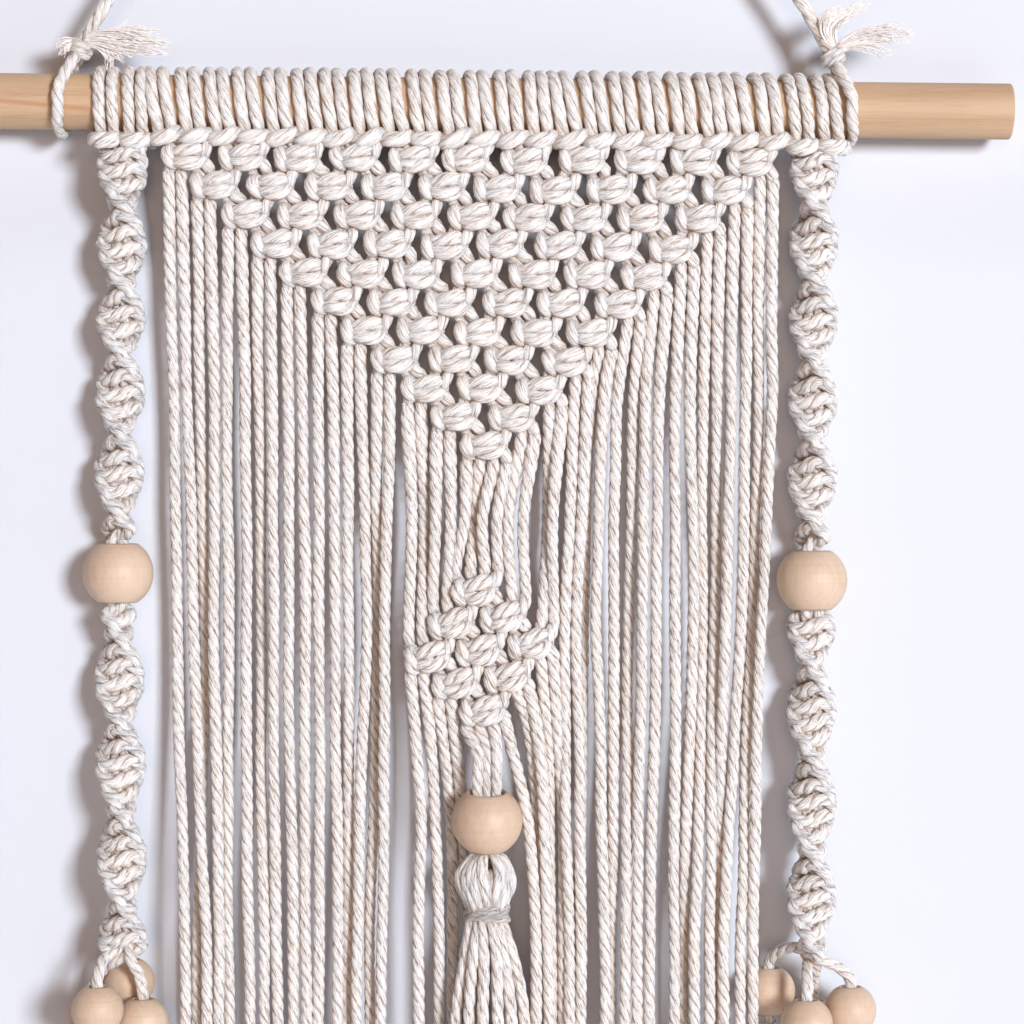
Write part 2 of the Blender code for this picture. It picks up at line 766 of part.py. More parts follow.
def smooth_line(points, step):
    """Points every step along a smooth curve through the given ones."""
    curve = []
    padded = [points[0], *points, points[-1]]
    for a, b, c, d in zip(padded, padded[1:], padded[2:], padded[3:]):
        a, b, c, d = (Vector(p) for p in (a, b, c, d))
        parts = max(1, round((c - b).length / step))
        for i in range(parts):
            t = i / parts
            place = 2 * b + (c - a) * t + (2 * a - 5 * b + 4 * c - d) * t**2
            curve.append((place + (3 * b - 3 * c + d - a) * t**3) / 2)
    curve.append(Vector(points[-1]))
    return curve


def build_hanger_cord(material):
    """The cord over the hook, a round tube with closed ends."""
    line = smooth_line(HANGER_ROUTE, 2.6 * CORD)
    curve = bpy.data.curves.new("hanger_cord", "CURVE")
    curve.dimensions = "3D"
    curve.bevel_depth = CORD / 2
    curve.bevel_resolution = 2
    curve.use_fill_caps = True
    spline = curve.splines.new("POLY")
    spline.points.add(len(line) - 1)
    for point, place in zip(spline.points, line):
        point.co = (*place, 1.0)
    curve.materials.append(material)
    obj = bpy.data.objects.new("hanger_cord", curve)
    bpy.context.scene.collection.objects.link(obj)


def tail(path, widths, thickness):
    """Rings of a flat frayed end that widens along its path, its face to the front."""
    rings = []
    last = len(path) - 1
    for i, (x, y, z) in enumerate(path):
        before, after = path[max(i - 1, 0)], path[min(i + 1, last)]
        dx, dz = after[0] - before[0], after[2] - before[2]
        length = math.hypot(dx, dz)
        side_x, side_z = -dz / length * widths[i], dx / length * widths[i]
        ring = []
        for across, out in ((-1, 0), (0, 1), (1, 0), (0, -1)):
            ring.append((x + across * side_x, y + out * thickness, z + across * side_z))
        rings.append(ring)
    return rings


def build_hanger_knot(name, side, tails, material):
    """A loop round the dowel, drawn up into a knot, with its frayed ends."""
    x, y = side * HANGER_KNOT_X, HANGER_KNOT_Y
    z = level(x, -HANGER_KNOT_RISE)
    reach = DOWEL_DIAMETER / 2 + CORD / 2 + 2 * CLEAR
    loop_x = side * HANGER_LOOP_X
    turns = [math.tau * i / 12 for i in range(12)]
    path = [(loop_x, -reach * math.sin(a), level(loop_x, -reach * math.cos(a))) for a in turns]
    loop = tube(path, [CORD / 2] * len(path), 6, closed=True)
    knot = add_object(name, *skin(loop, capped=False), material)
    lean = math.radians(30)
    seat = (loop_x, -reach * math.sin(lean), level(loop_x, -reach * math.cos(lean)))
    leg = [(x, y, z), [mix(a, b, 0.6) for a, b in zip((x, y, z + 0.0012), seat)], seat]
    unite(knot, name + "_leg", *skin(tube(leg, [CORD / 2] * 3, 6)))
    profile = ((0.4, -0.9), (0.9, -0.5), (1.0, 0.0), (0.9, 0.5), (0.4, 0.9))
    sized = [(r * HANGER_KNOT_RADIUS, h * HANGER_KNOT_RADIUS) for r, h in profile]
    unite(knot, name + "_body", *skin(turned(sized, (x, y, z), 10)))
    for i, (path, widths) in enumerate(tails, 1):
        moved = [(x + dx, y + dy, z + dz) for dx, dy, dz in path]
        unite(knot, f"{name}_end_{i}", *skin(tail(moved, widths, 0.0011)))


def build_hanger_knots(material):
    """Both tied ends of the hanging cord."""
    long_left = ((0.0020, -0.0010, 0.0006), (0.0120, -0.0030, 0.0020), (0.0262, -0.0040, 0.0008))
    short_left = ((-0.0020, -0.0010, 0.0000), (-0.0045, -0.0020, -0.0004), (-0.0066, -0.0025, -0.0026))
    arch_right = ((0.0010, 0.0, 0.0030), (0.0030, -0.0020, 0.0090), (0.0106, -0.0030, 0.0138))
    long_right = ((0.0020, -0.0010, 0.0014), (0.0110, -0.0035, 0.0048), (0.0226, -0.0045, 0.0040))
    left = ((long_left, (0.0012, 0.0030, 0.0034)), (short_left, (0.0014, 0.0020, 0.0022)))
    right = ((arch_right, (0.0012, 0.0022, 0.0014)), (long_right, (0.0012, 0.0022, 0.0028)))
    build_hanger_knot("hanger_knot_left", -1, left, material)
    build_hanger_knot("hanger_knot_right", 1, right, material)


def main():
    """Build every piece of the hanging."""
    clear_scene()
    cord, stick, turned_wood = cotton(), dowel_wood(), bead_wood()
    build_dowel(stick)
    build_hanger_cord(cord)
    build_hanger_knots(cord)
    build_panel(cord)
    width = SINNET_LOOPS * LOOP_PITCH
    right_end = PANEL_LEFT + PANEL_LOOPS * LOOP_PITCH
    build_sinnet("sinnet_left", LEFT_AXIS, LEFT_TWIST, PANEL_LEFT - CLEAR - width, LEFT_CLUSTER, cord)
    build_sinnet("sinnet_right", RIGHT_AXIS, RIGHT_TWIST, right_end + CLEAR, RIGHT_CLUSTER, cord)
    build_beads(turned_wood)
    build_tassel(cord)


main()
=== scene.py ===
"""Looks of a macrame wall hanging: twisted cotton cord, square knots, wooden beads, a tassel
and a pine dowel, built round the frame of its solids.

Lengths are in metres, x to the right, y away from the viewer and z up, with the origin on the
hook. The short tables of knots are in millimetres and count their second column towards the
viewer.
"""

import logging
import math
from dataclasses import dataclass, field
from enum import Enum
from typing import NamedTuple

import bpy
import numpy as np
from bpy.types import Material, Node, NodeSocket, Object, World
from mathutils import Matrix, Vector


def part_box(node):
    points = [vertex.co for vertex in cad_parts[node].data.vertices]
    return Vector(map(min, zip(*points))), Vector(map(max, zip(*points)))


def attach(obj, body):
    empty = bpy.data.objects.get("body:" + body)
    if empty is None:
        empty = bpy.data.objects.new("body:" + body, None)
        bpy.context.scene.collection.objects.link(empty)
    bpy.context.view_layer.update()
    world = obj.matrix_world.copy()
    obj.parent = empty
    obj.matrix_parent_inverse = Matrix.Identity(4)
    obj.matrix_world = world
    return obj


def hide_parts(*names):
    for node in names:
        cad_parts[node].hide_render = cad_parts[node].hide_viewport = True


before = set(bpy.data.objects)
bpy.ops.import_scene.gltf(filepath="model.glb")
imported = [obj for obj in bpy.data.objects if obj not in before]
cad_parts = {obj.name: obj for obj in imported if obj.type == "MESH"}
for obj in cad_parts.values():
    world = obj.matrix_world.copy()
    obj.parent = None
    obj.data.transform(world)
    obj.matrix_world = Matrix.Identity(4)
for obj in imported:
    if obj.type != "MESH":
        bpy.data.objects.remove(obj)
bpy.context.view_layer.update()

LOG = logging.getLogger("macrame")
MM = 0.001
TURN = 2 * math.pi
PLIES = 3
SECTION_POINTS = 12

# The hanging's driving sizes, as its solids have them
CORD_RADIUS = 0.0019
DOWEL_RADIUS = 0.008
DOWEL_LENGTH = 0.310
DOWEL_DROP = 0.150
DOWEL_SHIFT = 0.0043
DOWEL_TILT = math.radians(0.6)
LAYER = -0.006
HEAD_PITCH = 0.00826
PANEL_LEFT = -0.0873
PANEL_HEADS = 22
SINNET_GAP = 0.0003
STRAND_DROP = 0.380
NET_ROWS = 11
NET_LEFT = -0.0771
NET_TOP = 0.0163
NET_PITCH = 0.01614
NET_ROW = 0.00817
NET_DRIFT = 0.0005
DIAMOND_COUNTS = (1, 2, 3, 2, 1)
DIAMOND_LEFT = -0.0077
DIAMOND_MIDDLE = 0.1583
DIAMOND_PITCH = 0.0147
DIAMOND_ROW = 0.0086
DIAMOND_DRIFT = 0.0006
DIAMOND_LIFT = 0.14
DIAMOND_SIZE = (0.98, 1.05, 1.10, 1.08)
CENTRE_BEAD = (0.0086, -0.0080, 0.2049)
CENTRE_BEAD_TILT = math.radians(9.0)
TASSEL_DROP = 0.2142
TASSEL_END = 0.3092
BIG_BEAD_RADIUS = 0.0101
BIG_BORE = 0.0050
SMALL_BEAD_RADIUS = 0.0074
SMALL_BORE = 0.0026
SIDE_BEAD_DROP = 0.1354
SINNET_FOOT = 0.2460
# The hanging cord's knots: across from the hook, in front of the dowel's centre line and
# above it, in millimetres
KNOT_ACROSS = 107.7
KNOT_FRONT = 4.5
KNOT_LIFT = 14.7

# The hanging cord's route from its left knot over the hook to its right knot
HANGER_ROUTE = (
    (-0.1057, -0.0045, -0.1302),
    (-0.1001, -0.0042, -0.1206),
    (-0.0950, -0.0040, -0.1126),
    (-0.0880, -0.0036, -0.1035),
    (-0.0700, -0.0025, -0.0815),
    (-0.0350, -0.0010, -0.0392),
    (-0.0120, -0.0002, -0.0112),
    (-0.0040, 0.0, -0.0005),
    (0.0, 0.0, 0.0020),
    (0.0040, 0.0, -0.0007),
    (0.0120, -0.0002, -0.0130),
    (0.0350, -0.0010, -0.0414),
    (0.0700, -0.0025, -0.0843),
    (0.0850, -0.0034, -0.1028),
    (0.0920, -0.0040, -0.1118),
    (0.0983, -0.0042, -0.1206),
    (0.1053, -0.0045, -0.1327),
)

# Drops at which a strand's places are given, the least way to the first of them from its
# knot, the step between its points and the length over which it starts to wander
STRAND_LEVELS = (0.083, 0.149, 0.245)
LEAST_KEY = 0.012
STRAND_STEP = 0.017
STRAND_EASE = 0.03


class Hang(NamedTuple):
    """A hanging strand's places across the panel at three heights, in millimetres.

    The last two columns are how far it lies behind the front layer at the lower two.
    """

    chest: float
    waist: float
    hem: float
    waist_depth: float = 0.0
    hem_depth: float = 0.0


# How far the second layer lies behind the first, and how far every loose strand leans back
BACK = 4.4
LEAN = 2.2
# The strands below the net, from the outside inwards
LEFT_STRANDS = (
    Hang(-81.4, -80.3, -78.0), Hang(-77.4, -75.7, -71.9), Hang(-74.0, -72.6, -74.8, BACK, BACK),
    Hang(-69.8, -69.6, -68.3), Hang(-65.9, -65.7, -66.0, 0.0, BACK), Hang(-60.6, -60.6, -59.7),
    Hang(-56.8, -56.8, -55.4, BACK, 0.0), Hang(-52.9, -52.9, -51.7), Hang(-48.6, -48.3, -47.1),
    Hang(-44.3, -43.7, -43.4), Hang(-40.0, -39.4, -39.7), Hang(-35.8, -34.9, -34.3),
    Hang(-31.7, -30.9, -32.0, 0.0, BACK), Hang(-27.5, -26.0, -28.9),
    Hang(-23.6, -23.0, -25.2, BACK, BACK), Hang(-20.0, -20.6, -21.7),
)
RIGHT_STRANDS = (
    Hang(90.3, 86.9, 84.5), Hang(86.6, 84.6, 80.9, BACK, 0.0), Hang(82.9, 81.2, 76.1),
    Hang(78.3, 77.1, 74.2, 0.0, BACK), Hang(74.5, 74.2, 72.1, BACK, 0.0),
    Hang(70.4, 70.6, 68.1, BACK, 0.0), Hang(66.8, 67.7, 64.8, 0.0, BACK), Hang(62.7, 62.3, 62.3),
    Hang(58.0, 56.9, 55.2), Hang(54.1, 52.8, 51.6), Hang(50.4, 49.4, 48.0, BACK, 0.0),
    Hang(45.7, 44.8, 44.5, 0.0, BACK), Hang(41.9, 39.7, 42.6), Hang(37.9, 36.3, 34.7, BACK, BACK),
    Hang(34.6, 34.2, 35.6), Hang(30.6, 30.6, 32.0),
)
# The strands that leave the diamond, also from the outside inwards: their places just below
# it, at the bead and at the hem
LOW_LEVELS = (0.1807, 0.2049, 0.245)
BELOW_LEFT = (
    Hang(-12.0, -10.5, -10.9), Hang(-7.5, -6.6, -4.9, 2.0, 3.0),
    Hang(-3.0, -2.0, -1.2, 9.0, 10.0), Hang(1.0, 1.7, 3.0, 9.0, 10.0),
)
BELOW_RIGHT = (
    Hang(29.0, 30.4, 30.4, BACK, BACK), Hang(26.0, 26.8, 26.8, BACK, BACK),
    Hang(23.5, 24.8, 26.4), Hang(21.5, 22.9, 22.9, BACK, BACK),
)
PASSING = Hang(17.0, 20.6, 22.6)
# The cords are numbered from the left; these are the first below the diamond, the first in
# the centre bead and the first right of the diamond
CORDS = 2 * PANEL_HEADS
FIRST_MIDDLE = 16
FIRST_CORE = 20
FIRST_RIGHT = 28
# The strands in the centre bead: across from its axis and how far back, in millimetres
CORES = ((-2.7, 0.0), (0.0, 0.9), (2.7, 0.0))
# The cords halfway between the net and the diamond: x and how far back, in millimetres
HALFWAY_DROP = 0.119
HALFWAY = (
    (-12.9, 0.0), (-9.7, 3.8), (-6.1, 0.0), (-1.8, 0.0), (2.2, 0.0), (4.7, 3.8), (7.2, 0.0),
    (11.4, 0.0), (14.6, 1.2), (18.9, 0.0), (25.9, 3.8), (27.3, 0.0),
)

# Small beads on a sinnet's four strands: x from the sinnet's axis, y, drop, in millimetres
LEFT_CLUSTER = ((-6.2, -14.0, 258.9), (5.4, -5.5, 263.7), (0.2, 5.1, 254.2), (-10.8, 4.5, 266.2))
RIGHT_CLUSTER = ((-2.3, -14.0, 260.6), (10.9, -6.8, 257.9), (1.6, 4.6, 264.0), (-11.1, 4.6, 254.6))
# Where those strands leave the last knot: x from the axis and y
LEFT_EXITS = ((-4.8, -8.5), (2.6, -8.0), (3.0, -3.5), (-1.5, -5.0))
RIGHT_EXITS = ((-1.7, -8.5), (3.4, -7.5), (1.2, -4.0), (-4.0, -5.0))


class Role(Enum):
    """A cord's part in a knot of four."""

    LEFT = 0
    LEFT_CORE = 1
    RIGHT_CORE = 2
    RIGHT = 3


# The cords' routes through a square knot: across, towards the viewer, up, girth
KNOT_ROUTES = {
    Role.LEFT: (
        (-6.0, 0.0, 4.1, 0.87), (-5.2, 0.5, 2.7, 0.88), (-3.4, 1.7, 1.0, 0.92),
        (-0.9, 2.7, 1.5, 1.12), (1.8, 2.7, 2.0, 1.14), (3.7, 1.4, 1.8, 0.98),
        (4.6, 0.1, 0.4, 0.88), (3.9, 1.5, -1.3, 0.98), (2.0, 2.7, -2.1, 1.14),
        (-0.8, 2.8, -2.1, 1.12), (-3.2, 1.8, -1.5, 0.94), (-5.0, 0.2, -2.5, 0.88),
    ),
    Role.LEFT_CORE: (
        (-1.9, 0.0, 4.1, 0.90), (-1.6, -0.1, 1.8, 0.80), (-1.5, 0.5, 0.0, 0.90),
        (-1.6, -0.1, -1.8, 0.80),
    ),
    Role.RIGHT_CORE: (
        (2.2, 0.0, 4.1, 0.90), (1.7, -0.1, 1.8, 0.80), (2.3, 1.0, 0.0, 1.00),
        (1.7, -0.1, -1.8, 0.80),
    ),
    Role.RIGHT: (
        (6.0, 0.2, 4.2, 0.88), (5.5, 1.9, 2.8, 0.94), (5.0, 1.7, 1.2, 0.90),
        (3.4, -1.3, 0.5, 0.84), (0.0, -2.6, 0.8, 0.95), (-3.2, -2.2, 1.5, 0.90),
        (-5.1, -0.3, 2.5, 0.90), (-5.6, 1.7, 1.7, 1.02), (-5.6, 2.4, 0.0, 1.08),
        (-5.0, 1.9, -2.0, 1.00), (-3.8, -0.2, -2.7, 0.88), (-1.8, -2.4, -2.2, 0.90),
        (1.2, -2.6, -1.6, 0.92), (3.1, -1.3, -1.2, 0.86), (4.7, 0.8, -1.7, 0.94),
        (5.7, 1.2, -3.1, 0.98),
    ),
}
# Where each cord leaves a square knot
KNOT_EXITS = {
    Role.LEFT: (-5.6, 0.0, -4.4, 0.95),
    Role.LEFT_CORE: (-1.9, 0.0, -4.4, 0.95),
    Role.RIGHT_CORE: (2.2, 0.0, -4.4, 0.95),
    Role.RIGHT: (5.9, 0.4, -4.6, 0.95),
}
# A working cord's route through a sinnet's half knot, entering behind at the left, crossing
# in front and leaving behind at the right: across, front, down, girth. Its next half knot
# is the same from behind.
HALF_KNOT = (
    (-5.4, -0.1, -1.0, 1.00), (-5.1, 0.9, 0.5, 1.00), (-3.7, 1.7, 1.0, 1.02),
    (-1.2, 2.1, 0.6, 1.16), (1.3, 2.1, -0.3, 1.18), (3.3, 1.6, -1.0, 1.04),
    (4.7, 0.7, -0.4, 0.96), (5.3, -0.3, 0.9, 1.00), (5.6, -0.6, 2.2, 1.02),
)
# The bar of a lark's head, from right to left: across, towards the viewer, up, girth
LARKS_HEAD_BAR = (
    (3.6, 3.4, -9.4, 0.90), (3.5, 6.4, -9.6, 1.02), (2.2, 8.6, -10.3, 1.18),
    (0.0, 9.4, -11.0, 1.26), (-2.1, 8.9, -11.2, 1.18), (-3.6, 7.0, -10.8, 1.00),
    (-4.0, 4.0, -10.4, 0.92),
)

Numbers = float | np.ndarray


def level(x: Numbers, drop: Numbers) -> Numbers:
    """Height of what hangs a drop below the dowel's centre line, which tilts."""
    return -DOWEL_DROP - drop - (x - DOWEL_SHIFT) * math.tan(DOWEL_TILT)


def columns(*parts: Numbers) -> np.ndarray:
    """Rows made of columns, where a single number fills its whole column."""
    return np.stack(np.broadcast_arrays(*parts), axis=-1)


def hung(x: Numbers, y: Numbers, drop: Numbers, girth: Numbers) -> np.ndarray:
    """Rows of x, y, z and girth at drops below the dowel's centre line."""
    return columns(x, y, level(x, drop), girth)


def linked(name: str, data: bpy.types.ID) -> Object:
    """Add an object to the scene."""
    obj = bpy.data.objects.new(name, data)
    bpy.context.scene.collection.objects.link(obj)
    return obj


# Shaders


class Value:
    """A number in a node tree, whose arithmetic adds Math nodes."""

    def __init__(self, nodes: "Nodes", socket: NodeSocket) -> None:
        """Keep the node tree and the output socket that this value stands for."""
        self.nodes = nodes
        self.socket = socket

    def math(self, operation: str, *operands: "Value | float") -> "Value":
        """Add a Math node.

        Args:
            operation: the node's operation, such as "POWER".
            operands: what its sockets get, in their order.

        Returns:
            The node's result.
        """
        inputs = dict(enumerate(operands))
        node = self.nodes.add("ShaderNodeMath", {"operation": operation}, inputs)
        return Value(self.nodes, node.outputs[0])

    def __add__(self, other: "Value | float") -> "Value":
        """self + other"""
        return self.math("ADD", self, other)

    def __radd__(self, other: float) -> "Value":
        """other + self"""
        return self.math("ADD", other, self)

    def __sub__(self, other: "Value | float") -> "Value":
        """self - other"""
        return self.math("SUBTRACT", self, other)

    def __rsub__(self, other: float) -> "Value":
        """other - self"""
        return self.math("SUBTRACT", other, self)

    def __mul__(self, other: "Value | float") -> "Value":
        """self * other"""
        return self.math("MULTIPLY", self, other)

    def __rmul__(self, other: float) -> "Value":
        """other * self"""
        return self.math("MULTIPLY", other, self)

    def __pow__(self, other: "Value | float") -> "Value":
        """self to the power of other"""
        return self.math("POWER", self, other)

    def cos(self) -> "Value":
        """Cosine of the value in radians."""
        return self.math("COSINE", self)

    def sin(self) -> "Value":
        """Sine of the value in radians."""
        return self.math("SINE", self)

    def clamped(self, low: float = 0.0) -> "Value":
        """The value kept between a lower limit and 1."""
        return self.math("MINIMUM", self.math("MAXIMUM", self, low), 1.0)

    def above(self, edge: float, gain: float, low: float = 0.0) -> "Value":
        """How far the value is over an edge, times a gain, kept between low and 1."""
        return ((self - edge) * gain).clamped(low)

    def below(self, edge: float, gain: float) -> "Value":
        """How far the value is under an edge, times a gain, kept between 0 and 1."""
        return ((edge - self) * gain).clamped()


Feed = Value | NodeSocket | float | tuple


class Nodes:
    """The node tree of a new material or world."""

    def __init__(self, owner: Material | World) -> None:
        """Give the material or world its nodes."""
        owner.use_nodes = True
        self.owner = owner
        self.tree = owner.node_tree

    def feed(self, socket: NodeSocket, value: Feed) -> None:
        """Link a value or socket to an input, or set the input to a constant.

        Args:
            socket: the input.
            value: what it gets; a colour of three parts is opaque.
        """
        if isinstance(value, Value):
            self.tree.links.new(value.socket, socket)
        elif isinstance(value, NodeSocket):
            self.tree.links.new(value, socket)
        elif isinstance(value, tuple):
            missing = len(socket.default_value) - len(value)
            socket.default_value = (*value, *[1.0] * missing)
        else:
            socket.default_value = value

    def add(self, kind: str, settings: dict, inputs: dict) -> Node:
        """Add a node.

        Args:
            kind: the node's type.
            settings: its own properties, which are set first.
            inputs: what its sockets get, by name or number.

        Returns:
            The node.
        """
        node = self.tree.nodes.new(kind)
        for name, setting in settings.items():
            setattr(node, name, setting)
        for key, value in inputs.items():
            self.feed(node.inputs[key], value)
        return node

    def split(self, vector: NodeSocket) -> list[Value]:
        """A vector's three numbers."""
        parts = self.add("ShaderNodeSeparateXYZ", {}, {0: vector})
        return [Value(self, socket) for socket in parts.outputs]

    def vector(self, x: Feed, y: Feed, z: Feed) -> NodeSocket:
        """Put three numbers together as a vector."""
        return self.add("ShaderNodeCombineXYZ", {}, {"X": x, "Y": y, "Z": z}).outputs[0]

    def scaled(self, vector: Feed, factors: tuple) -> NodeSocket:
        """A vector times a constant one, part by part."""
        settings = {"operation": "MULTIPLY"}
        return self.add("ShaderNodeVectorMath", settings, {0: vector, 1: factors}).outputs[0]

    def noise(self, vector: Feed, scale: float, detail: float, roughness: float = 0.5) -> Value:
        """Noise between 0 and 1 over a vector."""
        inputs = {"Vector": vector, "Scale": scale, "Detail": detail, "Roughness": roughness}
        return Value(self, self.add("ShaderNodeTexNoise", {}, inputs).outputs["Fac"])

    def mixed(self, factor: Feed, low: Feed, high: Feed) -> NodeSocket:
        """Mix two colours."""
        settings = {"data_type": "RGBA"}
        return self.add("ShaderNodeMix", settings, {0: factor, 6: low, 7: high}).outputs[2]

    def place(self) -> NodeSocket:
        """Object coordinates."""
        return self.add("ShaderNodeTexCoord", {}, {}).outputs["Object"]

    def bump(self, height: Value, strength: float, distance: float) -> NodeSocket:
        """A normal bent by a height."""
        inputs = {"Height": height, "Strength": strength, "Distance": distance}
        return self.add("ShaderNodeBump", {}, inputs).outputs["Normal"]

    def choose(self, factor: Feed, first: NodeSocket, second: NodeSocket) -> None:
        """Show one of two shaders: the first where the factor is 0, the second where it is 1."""
        either = self.add("ShaderNodeMixShader", {}, {0: factor, 1: first, 2: second})
        output = next(node for node in self.tree.nodes if "Surface" in node.inputs)
        self.feed(output.inputs["Surface"], either.outputs[0])

    def finish(self, **sockets: Feed) -> Material:
        """Feed the Principled shader, its sockets named with _ for each space."""
        shader = self.tree.nodes["Principled BSDF"]
        for name, value in sockets.items():
            self.feed(shader.inputs[name.replace("_", " ")], value)
        return self.owner


@dataclass(frozen=True)
class CottonFinish:
    """Undyed cotton of three plies: fibre streaks, painted shade in its creases and where cords hem
    it in.
    """

    name: str
    light: tuple = (0.99, 0.95, 0.91)
    warm: tuple = (0.975, 0.91, 0.845)
    # The next two colours are painted shade: brown for the creases between plies and yarns, and for
    # points that other cords hem in.
    crease_shade: tuple = (0.31, 0.215, 0.165)
    hemmed_in_shade: tuple = (0.66, 0.48, 0.36)
    hemmed_in_shade_share: float = 0.42
    crease_shade_share: float = 0.78
    ply_share: float = 0.80
    ply_wobble: float = 2.4
    ply_sharpness: float = 11.0
    streak_share: float = 0.58
    fine_share: float = 0.36
    lag: float = 45.0
    fibre_width: float = 0.00029
    sliver_width: float = 0.00040
    stretch: float = 0.13
    relief: float = 0.00060

    def material(self) -> Material:
        """Build the node tree.

        Returns:
            The cotton material. The fibres lie steeper than the plies, lag turns a metre
            behind them, and their noise is on a cylinder of the cord's own radius, so that
            it has no seam: (r cos u, r sin u, v stretched). The plies meet where the
            section is lowest. The ply valleys and the gaps between yarns get painted shade,
            a brown mixed into the base colour, and so do points hemmed in by other cords.
        """
        nodes = Nodes(bpy.data.materials.new(self.name))
        across, along, _ = nodes.split(nodes.add("ShaderNodeUVMap", {}, {}).outputs[0])
        turn = across * TURN
        fibre_turn = turn - along * (self.lag * TURN)
        x, y = fibre_turn.cos() * CORD_RADIUS, fibre_turn.sin() * CORD_RADIUS
        skin = nodes.vector(x, y, along * self.stretch)
        fibres = nodes.noise(skin, 1 / self.fibre_width, 2.0, 0.6)
        slivers = nodes.noise(skin, 1 / self.sliver_width, 1.0)
        patches = nodes.noise(nodes.scaled(skin, (1.0, 1.0, 3.0)), 900.0, 1.0)
        wobble = nodes.noise(nodes.scaled(skin, (1.0, 1.0, 1.5)), 800.0, 1.0) - 0.5
        dips = 0.5 - 0.5 * (turn * float(PLIES) + wobble * self.ply_wobble).cos()
        plies = dips**self.ply_sharpness
        # Painted shade: the ply valleys, the slivers between yarns and the gaps between fibres make
        # a mask that darkens the base colour towards brown.
        thin = slivers.below(0.458, gain=26.0) * patches.above(0.15, gain=2.2)
        painted_crease_shade = plies * patches.above(0.44, gain=9.0, low=0.06) * self.ply_share
        painted_crease_shade = painted_crease_shade + thin * self.streak_share
        painted_crease_shade = painted_crease_shade + fibres.below(0.46, gain=18.0) * self.fine_share
        tint = nodes.noise(nodes.place(), 60.0, 2.0).above(0.42, gain=2.4)
        colour = nodes.mixed(tint, self.light, self.warm)
        colour = nodes.mixed(painted_crease_shade.clamped() * self.crease_shade_share, colour, self.crease_shade)
        # Painted shade: the attribute holds how far other cords hem a point in, and the colour is
        # mixed towards brown by it, standing in for occlusion.
        marks = nodes.add("ShaderNodeAttribute", {"attribute_name": "painted_shade"}, {})
        painted_shade = Value(nodes, marks.outputs["Fac"])
        colour = nodes.mixed(painted_shade * self.hemmed_in_shade_share, colour, self.hemmed_in_shade)
        height = fibres * 0.7 + slivers * 1.0 - plies * 0.5
        return nodes.finish(
            Base_Color=colour,
            Roughness=0.9 - fibres * 0.1,
            Subsurface_Weight=0.36,
            Subsurface_Radius=(1.0, 0.75, 0.55),
            Subsurface_Scale=0.003,
            Sheen_Weight=0.10,
            Sheen_Roughness=0.5,
            Specular_IOR_Level=0.2,
            Normal=nodes.bump(height, 1.0, self.relief),
        )


@dataclass(frozen=True)
class CombedFinish:
    """Cotton combed out into loose fibres: nearly white, faintly streaked."""

    name: str
    light: tuple = (0.98, 0.935, 0.90)
    shade: tuple = (0.88, 0.82, 0.77)

    def material(self) -> Material:
        """Build the node tree and return the material."""
        nodes = Nodes(bpy.data.materials.new(self.name))
        streaks = nodes.noise(nodes.place(), 700.0, 2.0)
        return nodes.finish(
            Base_Color=nodes.mixed(streaks.above(0.45, gain=4.0), self.light, self.shade),
            Roughness=0.95,
            Sheen_Weight=0.10,
            Specular_IOR_Level=0.15,
        )


@dataclass(frozen=True)
class PineFinish:
    """Bare pale pine with long straight grain along x."""

    name: str
    pale: tuple = (0.57, 0.39, 0.245)
    dark: tuple = (0.37, 0.21, 0.106)
    seam_tone: tuple = (0.46, 0.20, 0.085)
    ring_pitch: float = 0.0058
    heart_depth: float = 0.012
    heart_drop: float = 0.163
    seam_end: float = -0.090
    seam_width: float = 0.0009

    def material(self) -> Material:
        """Build the node tree.

        Returns:
            The pine material: rings round the wood's heart, which lies off the stick, bent
            by noise stretched along it, with fine fibres, a few dark flecks and one dark
            seam near the left end.
        """
        nodes = Nodes(bpy.data.materials.new(self.name))
        place = nodes.place()

        def along(stretch: float, scale: float, detail: float, roughness: float = 0.5) -> Value:
            """Noise drawn out along the stick."""
            return nodes.noise(nodes.scaled(place, (stretch, 1.0, 1.0)), scale, detail, roughness)

        drift = along(0.10, 90.0, 2.0)
        fibres = along(0.035, 3200.0, 3.0, 0.6)
        flecks = along(0.12, 900.0, 2.0).below(0.36, gain=4.0)
        lines = along(0.02, 2400.0, 1.0).below(0.45, gain=9.0)
        x, y, z = nodes.split(place)
        y, z = y - self.heart_depth, z + self.heart_drop
        distance = (y * y * 0.6 + z * z) ** 0.5
        rings = ((distance * (TURN / self.ring_pitch) + drift * 7.0).sin() * 0.5 + 0.5) ** 2.2
        shade = rings * 0.30 + (fibres - 0.5) * 0.9 + flecks * 0.4
        shade = (shade + lines * 0.14).clamped()
        course = z - 0.0134 + (x + 0.131) * 0.095 + (drift - 0.5) * 0.0012
        offset = course * (1 / self.seam_width)
        seam = (1.0 - offset * offset).clamped() * x.below(self.seam_end, gain=60.0)
        colour = nodes.mixed(shade, self.pale, self.dark)
        return nodes.finish(
            Base_Color=nodes.mixed(seam * 0.6, colour, self.seam_tone),
            Roughness=0.52 + fibres * 0.16,
            Specular_IOR_Level=0.35,
            Normal=nodes.bump(fibres * 0.6 + rings * 0.4, 0.35, 0.00012),
        )


